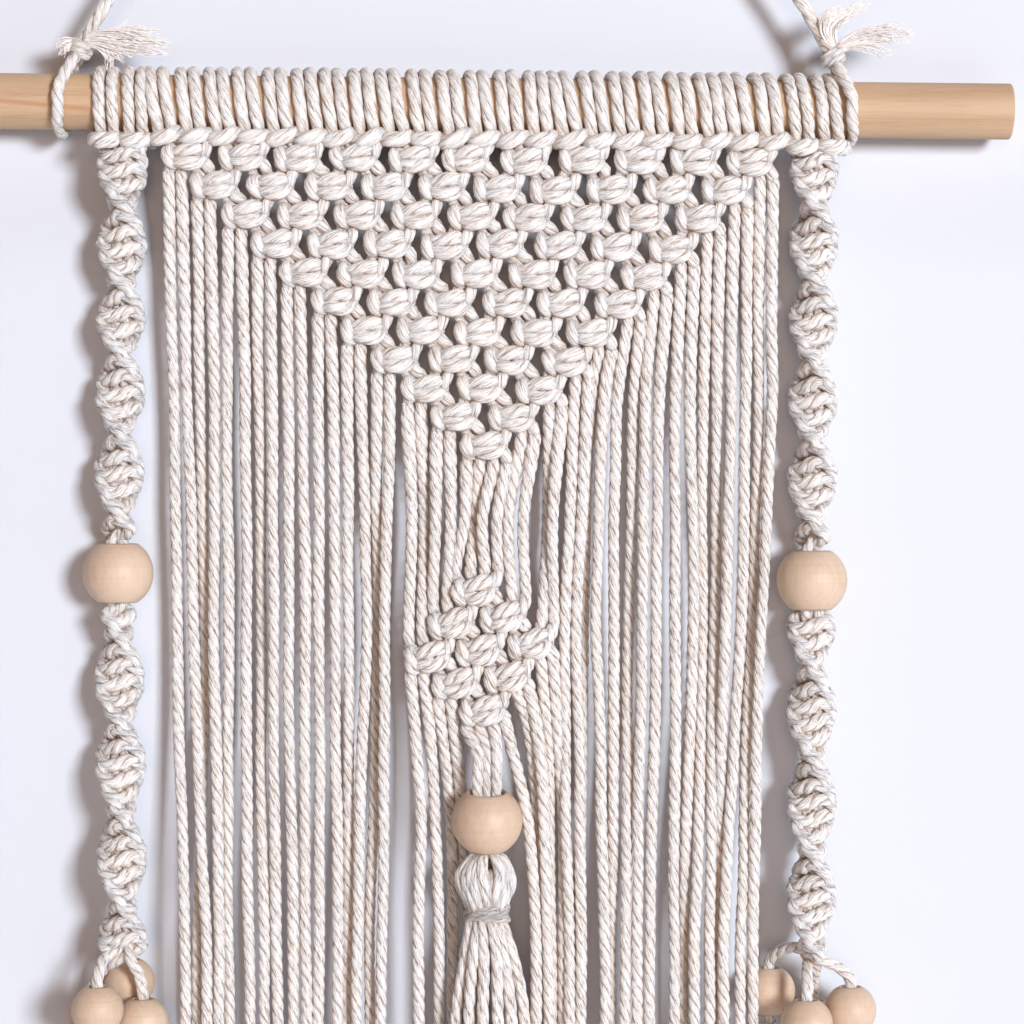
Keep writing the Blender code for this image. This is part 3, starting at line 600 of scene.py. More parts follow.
@dataclass(frozen=True)
class BeechFinish:
    """Turned pale beech: faint rings across a bead, fine grain down it, a soft polish."""

    name: str
    pale: tuple = (0.68, 0.515, 0.38)
    dark: tuple = (0.51, 0.345, 0.228)

    def material(self) -> Material:
        """Build the node tree.

        Returns:
            The beech material: growth layers from stretched noise, pores as short dashes
            down the grain and turning marks round the axis.
        """
        nodes = Nodes(bpy.data.materials.new(self.name))
        place = nodes.place()
        layers = nodes.noise(nodes.scaled(place, (1.0, 1.0, 0.28)), 150.0, 2.0)
        bands = ((layers * 46.0).sin() * 0.5 + 0.5) ** 1.6
        grain = nodes.noise(nodes.scaled(place, (1.0, 1.0, 0.10)), 2600.0, 2.0, 0.6)
        pores = nodes.noise(nodes.scaled(place, (1.0, 1.0, 0.16)), 3600.0, 0.0)
        marks = nodes.noise(nodes.scaled(place, (0.02, 0.02, 1.0)), 1500.0, 2.0)
        tone = nodes.noise(place, 38.0, 1.0)
        shade = bands * 0.16 + (grain - 0.5) * 0.35 + pores.below(0.35, gain=6.0) * 0.25
        shade = shade + (tone - 0.5) * 0.9 + marks.below(0.47, gain=8.0) * 0.16 + 0.08
        return nodes.finish(
            Base_Color=nodes.mixed(shade.clamped(), self.pale, self.dark),
            Roughness=0.42 + grain * 0.15,
            Specular_IOR_Level=0.4,
            Normal=nodes.bump(marks * 0.6 + grain * 0.4, 0.25, 0.00008),
        )


@dataclass(frozen=True)
class PlasterFinish:
    """Plain pale plaster of the stage; a wall of it is seen through from behind."""

    name: str
    colour: tuple
    one_sided: bool

    def material(self) -> Material:
        """Build the node tree and return the material."""
        nodes = Nodes(bpy.data.materials.new(self.name))
        material = nodes.finish(Base_Color=self.colour, Roughness=0.9)
        if self.one_sided:
            clear = nodes.add("ShaderNodeBsdfTransparent", {}, {}).outputs[0]
            behind = nodes.add("ShaderNodeNewGeometry", {}, {}).outputs["Backfacing"]
            nodes.choose(behind, nodes.tree.nodes["Principled BSDF"].outputs[0], clear)
        return material


# Surfaces


@dataclass
class Surface:
    """Vertices, quads and the UV places of the quads' corners."""

    vertices: np.ndarray
    quads: np.ndarray
    uv: np.ndarray

    @staticmethod
    def joined(surfaces: list["Surface"]) -> "Surface":
        """Put surfaces into one, each one's quads numbered on from the last.

        Args:
            surfaces: the surfaces, at least one.

        Returns:
            The one surface.
        """
        counts = np.cumsum([0, *(len(s.vertices) for s in surfaces[:-1])])
        return Surface(
            np.concatenate([s.vertices for s in surfaces]),
            np.concatenate([s.quads + count for s, count in zip(surfaces, counts)]),
            np.concatenate([s.uv for s in surfaces]),
        )

    def piece(self, name: str, material: Material, slot: str, nodes: tuple) -> Object:
        """Make the surface an object of the hanging.

        Args:
            name: the object's name.
            material: its finish.
            slot: not used.
            nodes: the solids that it stands for.

        Returns:
            The new object.
        """
        mesh = bpy.data.meshes.new(name)
        mesh.vertices.add(len(self.vertices))
        mesh.vertices.foreach_set("co", self.vertices.ravel())
        mesh.loops.add(self.quads.size)
        mesh.loops.foreach_set("vertex_index", self.quads.ravel().astype(np.int32))
        mesh.polygons.add(len(self.quads))
        mesh.polygons.foreach_set("loop_start", np.arange(0, self.quads.size, 4, dtype=np.int32))
        layer = mesh.uv_layers.new(name="UVMap")
        layer.data.foreach_set("uv", self.uv.ravel())
        mesh.update(calc_edges=True)
        mesh.shade_smooth()
        mesh.materials.append(material)
        obj = linked(name, mesh)
        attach(obj, "root")
        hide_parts(*nodes)
        LOG.info("%s: %d triangles", name, 2 * len(self.quads))
        return obj


def unit(vectors: np.ndarray) -> np.ndarray:
    """Vectors divided by their lengths."""
    return vectors / np.maximum(np.linalg.norm(vectors, axis=-1, keepdims=True), 1e-12)


def smooth_route(points: np.ndarray, step: float) -> np.ndarray:
    """Points at even steps along a smooth curve through the given ones.

    The curve is a centripetal Catmull-Rom spline: each stretch between two points is three
    rounds of straight blends of its four neighbours, their parameters the square roots of
    the distances between them. Further columns, such as a girth, go along.

    Args:
        points: rows of x, y, z and any further columns.
        step: the distance between two of the new points.

    Returns:
        The new rows.
    """
    ends = np.vstack([2 * points[0] - points[1], points, 2 * points[-1] - points[-2]])
    gaps = np.sqrt(np.linalg.norm(np.diff(ends[:, :3], axis=0), axis=1) + 1e-9)
    knots = np.concatenate([[0.0], np.cumsum(gaps)])
    times = [knots[i : len(knots) - 3 + i, None, None] for i in range(4)]
    blends = [ends[i : len(ends) - 3 + i, None, :] for i in range(4)]
    t = times[1] + (times[2] - times[1]) * np.linspace(0.0, 1.0, 8, endpoint=False)[None, :, None]
    for spans in (((0, 1), (1, 2), (2, 3)), ((0, 2), (1, 3)), ((1, 2),)):
        blends = [
            (p * (times[b] - t) + q * (t - times[a])) / (times[b] - times[a])
            for (a, b), p, q in zip(spans, blends, blends[1:])
        ]
    curve = blends[0]
    line = np.vstack([curve.reshape(-1, points.shape[1]), points[-1:]])
    return even_steps(line, step)


def even_steps(line: np.ndarray, step: float) -> np.ndarray:
    """Read a polyline at even steps along it, all its columns with it."""
    sizes = np.linalg.norm(np.diff(line[:, :3], axis=0), axis=1)
    lengths = np.concatenate([[0.0], np.cumsum(sizes)])
    count = max(2, round(lengths[-1] / step)) + 1
    return read_at(line, lengths, np.linspace(0.0, lengths[-1], count))


def read_at(line: np.ndarray, lengths: np.ndarray, places: np.ndarray) -> np.ndarray:
    """All a polyline's columns at places between the lengths of its points."""
    return columns(*(np.interp(places, lengths, column) for column in line.T))


def carried_frames(line: np.ndarray) -> tuple[np.ndarray, np.ndarray]:
    """Normals and binormals along a line that don't spin about it.

    Each point first gets any normal. The minimal turn from a point to the next, as two
    reflections, carries that normal on, and its angle there, summed along the line, is how
    far each normal is turned back.

    Args:
        line: rows of x, y, z.

    Returns:
        The two unit vectors at each point.
    """
    tangents = unit(np.gradient(line, axis=0))
    steep = np.abs(tangents[:, 1:2]) > 0.9
    aside = np.where(steep, (1.0, 0.0, 0.0), (0.0, 1.0, 0.0))
    normals = unit(np.cross(aside, tangents))
    binormals = np.cross(tangents, normals)
    first = np.diff(line, axis=0)
    second = tangents[1:] - reflected(tangents[:-1], first)
    carried = reflected(reflected(normals[:-1], first), second)
    angles = np.arctan2((carried * binormals[1:]).sum(1), (carried * normals[1:]).sum(1))
    turned = np.concatenate([[0.0], np.cumsum(angles)])[:, None]
    steady = np.cos(turned) * normals + np.sin(turned) * binormals
    return steady, np.cross(tangents, steady)


def reflected(vectors: np.ndarray, mirrors: np.ndarray) -> np.ndarray:
    """Vectors reflected in the planes square to the mirrors' vectors."""
    sizes = np.maximum((mirrors * mirrors).sum(1, keepdims=True), 1e-18)
    return vectors - 2 * (mirrors * vectors).sum(1, keepdims=True) / sizes * mirrors


@dataclass(frozen=True)
class Lay:
    """How a cord is made: its radius, its twist and how deep its three plies are cut."""

    radius: float = CORD_RADIUS
    pitch: float = 0.0115
    shoulder: float = 0.95
    valley: float = 0.78
    step: float = 0.00115
    tip: float = 0.9

    def surface(self, route: np.ndarray, phase: float = 0.0) -> Surface:
        """The cord's surface along a route.

        Its section's radii, four for each ply, lie along the smooth route at the angles
        a + phase - 2 pi s / pitch, s being the length so far, so that the plies wind to the
        left.

        Args:
            route: rows of x, y, z and girth.
            phase: the section's turn at the start.

        Returns:
            The surface, with capped ends.
        """
        line = smooth_route(route, self.step)
        centres, girths = line[:, :3], line[:, 3:4]
        lengths = np.arange(len(line)) * np.linalg.norm(np.diff(centres[:2], axis=0))
        angles = np.arange(SECTION_POINTS) * TURN / SECTION_POINTS
        turns = angles + phase - TURN * lengths[:, None] / self.pitch
        section = np.tile((1.0, self.shoulder, self.valley, self.shoulder), PLIES)
        reach = self.radius * girths * section
        reach[[0, -1]] *= self.tip
        return tube(centres, turns, reach, lengths)


def ring_quads(rows: int, sides: int, closed: bool) -> tuple[np.ndarray, np.ndarray, np.ndarray]:
    """Quads between rings of vertices.

    Args:
        rows: how many rings there are.
        sides: vertices in a ring.
        closed: whether the last ring is joined to the first.

    Returns:
        The quads, the ring of each corner, and its share of the way round.
    """
    i, j = np.meshgrid(np.arange(rows if closed else rows - 1), np.arange(sides), indexing="ij")
    n, k = (i + 1) % rows, (j + 1) % sides
    quads = columns(i * sides + j, i * sides + k, n * sides + k, n * sides + j)
    return quads.reshape(-1, 4), columns(i, i, i + 1, i + 1), columns(j, j + 1, j + 1, j) / sides


def tube(line: np.ndarray, turns: np.ndarray, reach: np.ndarray, lengths: np.ndarray) -> Surface:
    """A tube round a line, with caps of quads, u round it and v along it.

    A point is c + r (n cos t + b sin t), with n and b the line's carried normals.

    Args:
        line: the rings' centres, c.
        turns: the angles of the rings' points, t.
        reach: the points' distances from their centres, r.
        lengths: v at each ring.

    Returns:
        The closed surface.
    """
    normals, binormals = carried_frames(line)
    cos, sin = np.cos(turns)[..., None], np.sin(turns)[..., None]
    points = line[:, None] + reach[..., None] * (cos * normals[:, None] + sin * binormals[:, None])
    rows, sides = points.shape[:2]
    quads, ring, u = ring_quads(rows, sides, closed=False)
    m = np.arange(sides // 2 - 1)
    cap = columns((sides - m) % sides, sides - m - 1, m + 2, m + 1)
    foot = (rows - 1) * sides + cap[:, ::-1]
    uv = columns(u, lengths[ring]).reshape(-1, 4, 2)
    end_uv = np.zeros((2 * len(m), 4, 2))
    end_uv[..., 0] = 0.02
    end_uv[len(m) :, :, 1] = lengths[-1]
    quads = np.concatenate([quads, cap, foot])
    return Surface(points.reshape(-1, 3), quads, np.concatenate([uv, end_uv]))


def route_at(points: np.ndarray, x: float, y: float, z: float, lift: float = 0.0) -> np.ndarray:
    """A route of millimetres, set at a place in metres.

    Args:
        points: rows of across, towards the viewer, up and girth.
        x: the place.
        y: the place.
        z: the place.
        lift: how much the route rises for each millimetre across.

    Returns:
        Rows of x, y, z and girth.
    """
    across, front, up, girth = np.array(points, dtype=float).T
    return columns(x + across * MM, y - front * MM, z + (up + lift * across) * MM, girth)


# Knots


@dataclass
class SquareKnot:
    """A square knot of four cords; its right side may be lifted."""

    x: float
    z: float
    size: tuple = (1.0, 1.0, 1.0, 1.0)
    lift: float = 0.0

    def placed(self, rows: tuple) -> np.ndarray:
        """Routes of the tables, set in this knot."""
        points = np.array(rows) * self.size
        return route_at(points, self.x, LAYER, self.z, self.lift)

    def route(self, role: Role) -> np.ndarray:
        """A cord's route through the knot."""
        return self.placed(KNOT_ROUTES[role])

    def leave(self, role: Role) -> np.ndarray:
        """The point where a cord leaves the knot."""
        return self.placed((KNOT_EXITS[role],))


@dataclass
class LarksHead:
    """A folded cord's two loops over the dowel, drawn up behind its bar."""

    x: float
    lean: float
    rise: float
    sag: float = 0.0
    fullness: float = 1.0
    loop_radius: float = 8.75

    def route(self, side: int) -> np.ndarray:
        """One half's route: the bar, up behind the dowel, over it and down behind the bar.

        Round the dowel it is the arc y = -r sin a, height = r cos a, with a counted from
        the top over the front, from -150 to 118 degrees.

        Args:
            side: -1 for the half that has the bar, 1 for the one that begins at its end.

        Returns:
            Rows of x, y, z and girth.
        """
        bar = np.array(LARKS_HEAD_BAR)
        if side > 0:
            bar = np.vstack([bar[2::-1] * (1.0, 1.0, 1.0, 0.82), (4.2, 2.2, -10.6, 0.92)])
        bar[:, 2] += self.rise * bar[:, 0] - self.sag
        bar[:, 3] *= self.fullness
        angles = np.radians(np.linspace(-150.0, 118.0, 9))
        top = 1.75 * side - self.lean - 0.4
        foot = 1.95 * side - 0.3 * self.lean
        across = np.interp(np.linspace(0.0, 1.0, 9), (0.0, 0.5, 1.0), (4.2 * side, top, foot))
        reach = self.loop_radius
        arc = columns(across, reach * np.sin(angles), reach * np.cos(angles), 1.0)
        down = ((2.0 * side - 0.1 * self.lean, 6.7, -7.4, 0.95), (2.0 * side, 6.1, -10.3, 0.90))
        return route_at(np.vstack([bar, arc, down]), self.x, 0.0, level(self.x, 0.0))


def pressed_on_dowel(surface: Surface, gap: float = 0.12 * MM) -> Surface:
    """Push what sinks into the dowel out to its skin, square to its axis.

    Args:
        surface: the surface, whose vertices are moved.
        gap: the clearance that it keeps.

    Returns:
        The same surface.
    """
    x, y, z = surface.vertices.T
    height = z - level(x, 0.0)
    radius = np.hypot(y, height)
    grown = np.maximum(radius, DOWEL_RADIUS + gap) / np.maximum(radius, 1e-9)
    grown = np.where(np.abs(x - DOWEL_SHIFT) < DOWEL_LENGTH / 2, grown, 1.0)
    surface.vertices = columns(x, y * grown, level(x, 0.0) + height * grown)
    return surface


@dataclass
class Wander:
    """The small unevenness of a hand-tied cord, the same on each run."""

    seed: int
    rng: np.random.Generator = field(init=False)

    def __post_init__(self) -> None:
        """Start the seeded source of chance."""
        self.rng = np.random.default_rng(self.seed)

    def waves(self, places: np.ndarray, size: float) -> np.ndarray:
        """Sum of three sines over a length, with chance phases."""
        total = np.zeros_like(places)
        for wavelength, share in ((0.130, 1.0), (0.062, 0.55), (0.031, 0.28)):
            total = total + share * np.sin(TURN * places / wavelength + self.phase())
        return total * size

    def shaken(self, route: np.ndarray, size: float) -> np.ndarray:
        """Move a route's points by chance."""
        moved = route.copy()
        moved[:, :3] += self.rng.normal(0.0, size, (len(route), 3))
        return moved

    def nudge(self, size: float) -> float:
        """A small chance number, below or above 0."""
        return self.rng.normal(0.0, size)

    def phase(self) -> float:
        """A chance turn of a cord's section."""
        return self.rng.uniform(0.0, TURN)


def hanging_route(start: np.ndarray, hang: Hang, levels: tuple, wander: Wander) -> np.ndarray:
    """Route of a strand that hangs free below its knot.

    Args:
        start: the row where it leaves the knot.
        hang: its places at the levels.
        levels: drops of those places.
        wander: the unevenness.

    Returns:
        Rows of x, y, z and girth, the first just below the start.
    """
    top = -DOWEL_DROP - start[2]
    depths = (hang.waist_depth / 2, hang.waist_depth, hang.hem_depth)
    lean = 0.0 if levels == LOW_LEVELS else LEAN
    keys = [(top, start[0], start[1])]
    for drop, place, depth in zip(levels, (hang.chest, hang.waist, hang.hem), depths):
        if drop > top + LEAST_KEY:
            keys.append((drop, place * MM, LAYER + (depth + lean) * MM))
    keys.append((STRAND_DROP, *keys[-1][1:]))
    drops, across, deep = np.array(keys).T
    end = STRAND_DROP - abs(wander.nudge(0.0012))
    reads = np.linspace(top + 0.007, end, max(3, round((end - top) / STRAND_STEP)))
    ease = np.clip((reads - top) / STRAND_EASE, 0.0, 1.0)
    x = np.interp(reads, drops, across) + wander.waves(reads, 0.00022) * ease
    y = np.interp(reads, drops, deep) + wander.waves(reads, 0.00035) * ease
    thinning = 0.09 * np.clip((reads - top) / (2 * STRAND_EASE), 0.0, 1.0)
    return hung(x, y, reads, 1.00 - thinning + wander.waves(reads, 0.03))


@dataclass
class Panel:
    """The heading, the net of square knots, the diamond and all 44 strands."""

    knotted_cotton: Material
    hanging_cotton: Material
    wander: Wander = field(default_factory=lambda: Wander(11))
    hanging: Lay = Lay()
    tight: Lay = Lay(pitch=0.019, shoulder=0.965, valley=0.85)
    knotted: list = field(default_factory=lambda: [[] for _ in range(CORDS)])
    ends: list = field(default_factory=lambda: [None] * CORDS)

    def heads(self) -> None:
        """Lay the cords over the dowel."""
        for head in range(PANEL_HEADS):
            x = PANEL_LEFT + (head + 0.5) * HEAD_PITCH + self.wander.nudge(0.00018)
            lean = 2.9 + self.wander.nudge(0.5)
            knot = LarksHead(x, lean, rise=0.06 + self.wander.nudge(0.07))
            for half, side in enumerate((-1, 1)):
                route = self.wander.shaken(knot.route(side), 0.00010)
                self.knotted[2 * head + half].append(route)

    def tie(self, knot: SquareKnot, first: int) -> None:
        """Take four cords through a knot."""
        for role in Role:
            cord = first + role.value
            self.knotted[cord].append(self.wander.shaken(knot.route(role), 0.00013))
            self.ends[cord] = knot.leave(role)

    def net(self) -> None:
        """Tie the triangular net, a row of knots at a time."""
        for row in range(NET_ROWS):
            left = NET_LEFT + row * (NET_PITCH / 2 + NET_DRIFT)
            for k in range(NET_ROWS - row):
                x = left + k * NET_PITCH + self.wander.nudge(0.0002)
                z = level(x, NET_TOP + row * NET_ROW) + self.wander.nudge(0.0002)
                self.tie(SquareKnot(x, z), 4 * k + 2 * row)

    def diamond(self) -> None:
        """Tie the diamond, whose right side is drawn up, below the cords' free lengths."""
        for cord, (x, depth) in enumerate(HALFWAY, FIRST_MIDDLE):
            middle = hung(x * MM, LAYER + depth * MM, HALFWAY_DROP, 0.93)
            self.knotted[cord].append(middle[None])
        for row, count in enumerate(DIAMOND_COUNTS):
            left = DIAMOND_LEFT + (3 - count) * DIAMOND_PITCH / 2 + (row - 2) * DIAMOND_DRIFT
            for k in range(count):
                x = left + k * DIAMOND_PITCH
                drop = DIAMOND_MIDDLE + (row - 2) * DIAMOND_ROW - (x - DIAMOND_LEFT) * DIAMOND_LIFT
                knot = SquareKnot(x, level(x, drop), DIAMOND_SIZE, DIAMOND_LIFT)
                self.tie(knot, FIRST_CORE - 2 * (count - 1) + 4 * k)

    def free_ends(self) -> dict[int, np.ndarray]:
        """Routes of what hangs below each cord's last knot, by the cord's number."""
        tables = [(i, hang, STRAND_LEVELS) for i, hang in enumerate(LEFT_STRANDS)]
        tables += [(CORDS - 1 - i, hang, STRAND_LEVELS) for i, hang in enumerate(RIGHT_STRANDS)]
        tables += [(FIRST_MIDDLE + i, hang, LOW_LEVELS) for i, hang in enumerate(BELOW_LEFT)]
        tables += [(FIRST_RIGHT - 1 - i, hang, LOW_LEVELS) for i, hang in enumerate(BELOW_RIGHT)]
        tables += [(FIRST_CORE + len(CORES), PASSING, LOW_LEVELS)]
        routes = {}
        for cord, hang, levels in tables:
            start = self.ends[cord]
            routes[cord] = np.vstack([start, hanging_route(start[0], hang, levels, self.wander)])
        for cord, (across, back) in enumerate(CORES, FIRST_CORE):
            routes[cord] = np.vstack([self.ends[cord], self.core_route(across, back)])
        return routes

    def core_route(self, across: float, back: float) -> np.ndarray:
        """Route of one of the strands that go through the centre bead into the tassel.

        Args:
            across: its place from the bead's axis, in millimetres.
            back: how far it lies behind the axis, in millimetres.

        Returns:
            Rows of x, y, z and girth.
        """
        x, y, drop = CENTRE_BEAD
        above = drop - np.array((0.0195, 0.0135, 0.006, -0.004))
        drops = np.array((*above, TASSEL_DROP + 0.002))
        climb = np.clip(drop - drops, -BIG_BEAD_RADIUS, BIG_BEAD_RADIUS)
        leaning = climb * math.sin(CENTRE_BEAD_TILT)
        return hung(x + across * MM, y + back * MM - leaning, drops, (0.95, 0.92, 0.78, 0.74, 0.74))

    def build(self) -> list[Object]:
        """Make the cords' surfaces and their pieces.

        Returns:
            The heading with the net, the diamond and the hanging strands of each side.
        """
        self.heads()
        self.net()
        split = [len(parts) for parts in self.knotted]
        tips = list(self.ends)
        self.diamond()
        free = self.free_ends()
        names = ("net_left", "net_right", "strands_left", "strands_middle", "strands_right")
        groups: dict[str, list[Surface]] = {name: [] for name in names}
        for cord, (parts, count, tip) in enumerate(zip(self.knotted, split, tips)):
            phase = self.wander.phase()
            upper = np.vstack([*parts[:count], tip])
            net = "net_left" if cord < PANEL_HEADS else "net_right"
            groups[net].append(pressed_on_dowel(self.tight.surface(upper, phase)))
            below = [tip, *parts[count:]] if parts[count:] else []
            lower = np.vstack([self.tucked(upper), *below, free[cord]])
            side = names[2 + (cord >= FIRST_MIDDLE) + (cord >= FIRST_RIGHT)]
            groups[side].append(self.hanging.surface(lower, phase))
        pieces = []
        for name, surfaces in groups.items():
            finish = self.knotted_cotton if name.startswith("net") else self.hanging_cotton
            whole = Surface.joined(surfaces)
            pieces.append(whole.piece(name, finish, "cotton_cord", ("macrame_panel",)))
        return pieces

    def tucked(self, upper: np.ndarray) -> np.ndarray:
        """A lower route's thin start, a little inside the upper one, so that no gap shows."""
        return np.array([*(upper[-2, :3] + upper[-1, :3]) / 2, 0.7])


@dataclass
class Twist:
    """How a sinnet's band turns: half turns at drops, in millimetres, above or below its bead."""

    drops: tuple
    turns: tuple

    def angle(self, drop: np.ndarray) -> np.ndarray:
        """The band's angle at drops in metres."""
        return math.pi * np.interp(drop / MM, self.drops, self.turns)


@dataclass
class Sinnet:
    """Two lark's heads, a spiral of half knots through a bead, and four strands with beads."""

    cotton: Material
    side: str
    seed: int
    head_left: float
    head_lean: float
    axis: tuple
    upper: Twist
    lower: Twist
    cluster: tuple
    exits: tuple
    half_knot: float = 4.5
    top: float = 14.5
    bead_gap: float = 11.5
    bead_reach: float = 8.0
    core_reach: float = 1.75
    lay: Lay = Lay(radius=0.00185, shoulder=0.96, valley=0.83, step=0.0012)

    def place(self, drop: np.ndarray) -> np.ndarray:
        """The axis's x at drops."""
        return np.interp(drop, (0.0, SIDE_BEAD_DROP, SINNET_FOOT), self.axis)

    def band(self, rows: np.ndarray, twist: Twist) -> np.ndarray:
        """Turn rows of across, towards the viewer, drop and girth about the axis.

        A point (a, f) at drop d goes to x = c + a cos t + f sin t, y = a sin t - f cos t, t
        being the band's angle there.

        Args:
            rows: the rows, in millimetres.
            twist: the band's turning.

        Returns:
            Rows of x, y, z and girth.
        """
        across, front, drop, girth = rows.T
        angle = twist.angle(drop * MM)
        x = self.place(drop * MM) + (across * np.cos(angle) + front * np.sin(angle)) * MM
        y = LAYER + (across * np.sin(angle) - front * np.cos(angle)) * MM
        return hung(x, y, drop * MM, girth)

    def half_knots(self, twist: Twist, top: float, foot: float) -> dict[Role, np.ndarray]:
        """Routes of the four cords through a run of half knots.

        Args:
            twist: the band's turning.
            top: drop of the first half knot, in millimetres.
            foot: drop that the run ends at.

        Returns:
            Each cord's rows.
        """
        count = round((foot - top) / self.half_knot)
        height = (foot - top) / count
        order = (Role.LEFT, Role.RIGHT)
        working = {role: [] for role in order}
        knot = np.array(HALF_KNOT)
        for n in range(count):
            offset = (0.0, 0.0, top + (n + 0.3) * height, 0.0)
            working[order[n % 2]].append(knot + offset)
            working[order[(n + 1) % 2]].append(knot * (-1, -1, 1, 1) + offset)
        routes = {role: self.band(np.vstack(rows), twist) for role, rows in working.items()}
        drops = np.arange(top, foot, 3.0)
        for role, across in ((Role.LEFT_CORE, -1.5), (Role.RIGHT_CORE, 1.5)):
            routes[role] = self.band(columns(across, 0.0, drops, 0.85), twist)
        return routes

    def gathered(self, quadrant: tuple, bead: float) -> np.ndarray:
        """Straight rows of one of the four strands that lie side by side in the bead.

        Args:
            quadrant: the strand's side of the axis, across and back.
            bead: the bead's drop, in millimetres.

        Returns:
            Rows of x, y, z and girth.
        """
        drops = np.array((bead - self.bead_reach, bead, bead + self.bead_reach)) * MM
        across, back = (part * self.core_reach * MM for part in quadrant)
        return hung(self.place(drops) + across, LAYER + back, drops, 0.9)

    def end(self, bead: tuple, leave: tuple) -> np.ndarray:
        """Route of a strand from the last knot through its small bead to its cut end.

        Args:
            bead: the bead's x from the axis, y and drop, in millimetres.
            leave: x from the axis and y where the strand leaves the knot.

        Returns:
            Rows of x, y, z and girth: the way to the bead, through it, the coil of the stop
            knot and the tail.
        """
        x, y, drop = self.axis[2] + bead[0] * MM, bead[1] * MM, bead[2]
        leave_drop = min(drop - 14.0, 246.0)
        share = np.array((0.0, 0.6))
        start_x = (1 - share) * (self.axis[2] + leave[0] * MM) + share * x
        start_y = (1 - share) * (leave[1] * MM) + share * y
        start_drop = leave_drop + np.array((0.0, 0.36)) * (drop - 8.6 - leave_drop)
        start = hung(start_x, start_y, start_drop * MM, 0.92)
        through = hung(x, y, (drop + np.array((-8.6, -5.0, 0.0, 6.0, 9.5))) * MM, 0.95)
        turns = np.linspace(0.0, 2.2 * TURN, 14)
        wide = 1.35 * MM
        coil_drop = (drop + np.linspace(9.6, 13.4, 14)) * MM
        coil_x, coil_y = x + wide * np.cos(turns), y + wide * np.sin(turns)
        coil = columns(coil_x, coil_y, level(x, coil_drop), 0.85)
        tail = hung(x, y, (drop + np.array((15.5, 20.0))) * MM, 0.95)
        return np.vstack([start, through, coil, tail])

    def build(self) -> list[Object]:
        """Make the sinnet's cords.

        Returns:
            The one piece.
        """
        wander = Wander(self.seed)
        middles = (self.head_left + (k + 0.5) * HEAD_PITCH for k in (0, 1))
        heads = [LarksHead(x, self.head_lean, rise=-0.14, sag=1.2, fullness=1.12) for x in middles]
        quadrants = {
            Role.LEFT_CORE: (-1, -1),
            Role.RIGHT_CORE: (1, -1),
            Role.RIGHT: (1, 1),
            Role.LEFT: (-1, 1),
        }
        bead = SIDE_BEAD_DROP / MM
        above = self.half_knots(self.upper, self.top, bead - self.bead_gap)
        below = self.half_knots(self.lower, bead + self.bead_gap, SINNET_FOOT / MM - 3.0)
        turned_about = int(math.cos(self.lower.angle(np.array(SINNET_FOOT))) < 0)
        surfaces = []
        for role in Role:
            head, half = divmod(role.value, 2)
            through = self.gathered(quadrants[role], bead)
            which = list(quadrants).index(role) ^ turned_about
            end = self.end(self.cluster[which], self.exits[which])
            bar = heads[head].route(2 * half - 1)
            route = wander.shaken(np.vstack([bar, above[role], through, below[role], end]), 0.00010)
            surfaces.append(pressed_on_dowel(self.lay.surface(route, wander.phase())))
        name = "sinnet_" + self.side
        whole = Surface.joined(surfaces)
        return [whole.piece(name + "_cords", self.cotton, "cotton_cord", (name,))]


def sinnets(cotton: Material) -> tuple[Sinnet, Sinnet]:
    """The two sinnets, one at each side of the panel.

    Args:
        cotton: their finish.

    Returns:
        The left and the right one, not yet built.
    """
    left = Sinnet(
        cotton,
        side="left",
        seed=31,
        head_left=PANEL_LEFT - SINNET_GAP - 2 * HEAD_PITCH,
        head_lean=0.3,
        axis=(-0.0954, -0.0969, -0.0954),
        upper=Twist(
            (12.0, 20.0, 30.2, 52.1, 72.2, 83.4, 106.3, 126.0),
            (-0.15, 0.0, 0.5, 1.5, 2.5, 3.0, 4.0, 4.85),
        ),
        lower=Twist((143.0, 165.4, 189.1, 216.9, 240.9, 247.0), (-0.85, 0.0, 1.0, 2.0, 3.0, 3.2)),
        cluster=LEFT_CLUSTER,
        exits=LEFT_EXITS,
    )
    right = Sinnet(
        cotton,
        side="right",
        seed=37,
        head_left=PANEL_LEFT + PANEL_HEADS * HEAD_PITCH + SINNET_GAP,
        head_lean=2.6,
        axis=(0.1023, 0.1014, 0.1014),
        upper=Twist(
            (12.0, 23.4, 40.0, 62.0, 84.9, 107.7, 126.0), (-0.3, 0.2, 1.0, 2.0, 3.0, 4.0, 4.8)
        ),
        lower=Twist((143.0, 149.0, 173.4, 201.0, 227.0, 247.0), (-0.2, 0.0, 1.0, 2.0, 3.0, 3.75)),
        cluster=RIGHT_CLUSTER,
        exits=RIGHT_EXITS,
    )
    return left, right


# Wood


def turned_surface(profile: np.ndarray, segments: int) -> Surface:
    """Turn a closed profile of (radius, height) about an upright axis.

    A point is (r cos a, r sin a, h), u runs round the axis and v along the profile.

    Args:
        profile: rows of radius and height, counterclockwise with the axis on its left.
        segments: steps round the axis.

    Returns:
        The closed surface.
    """
    angles = np.arange(segments) * TURN / segments
    radii, heights = profile[:, :1], profile[:, 1:]
    vertices = columns(radii * np.cos(angles), radii * np.sin(angles), heights)
    quads, ring, u = ring_quads(len(profile), segments, closed=True)
    uv = columns(u, ring / len(profile))
    return Surface(vertices.reshape(-1, 3), quads, uv.reshape(-1, 4, 2))


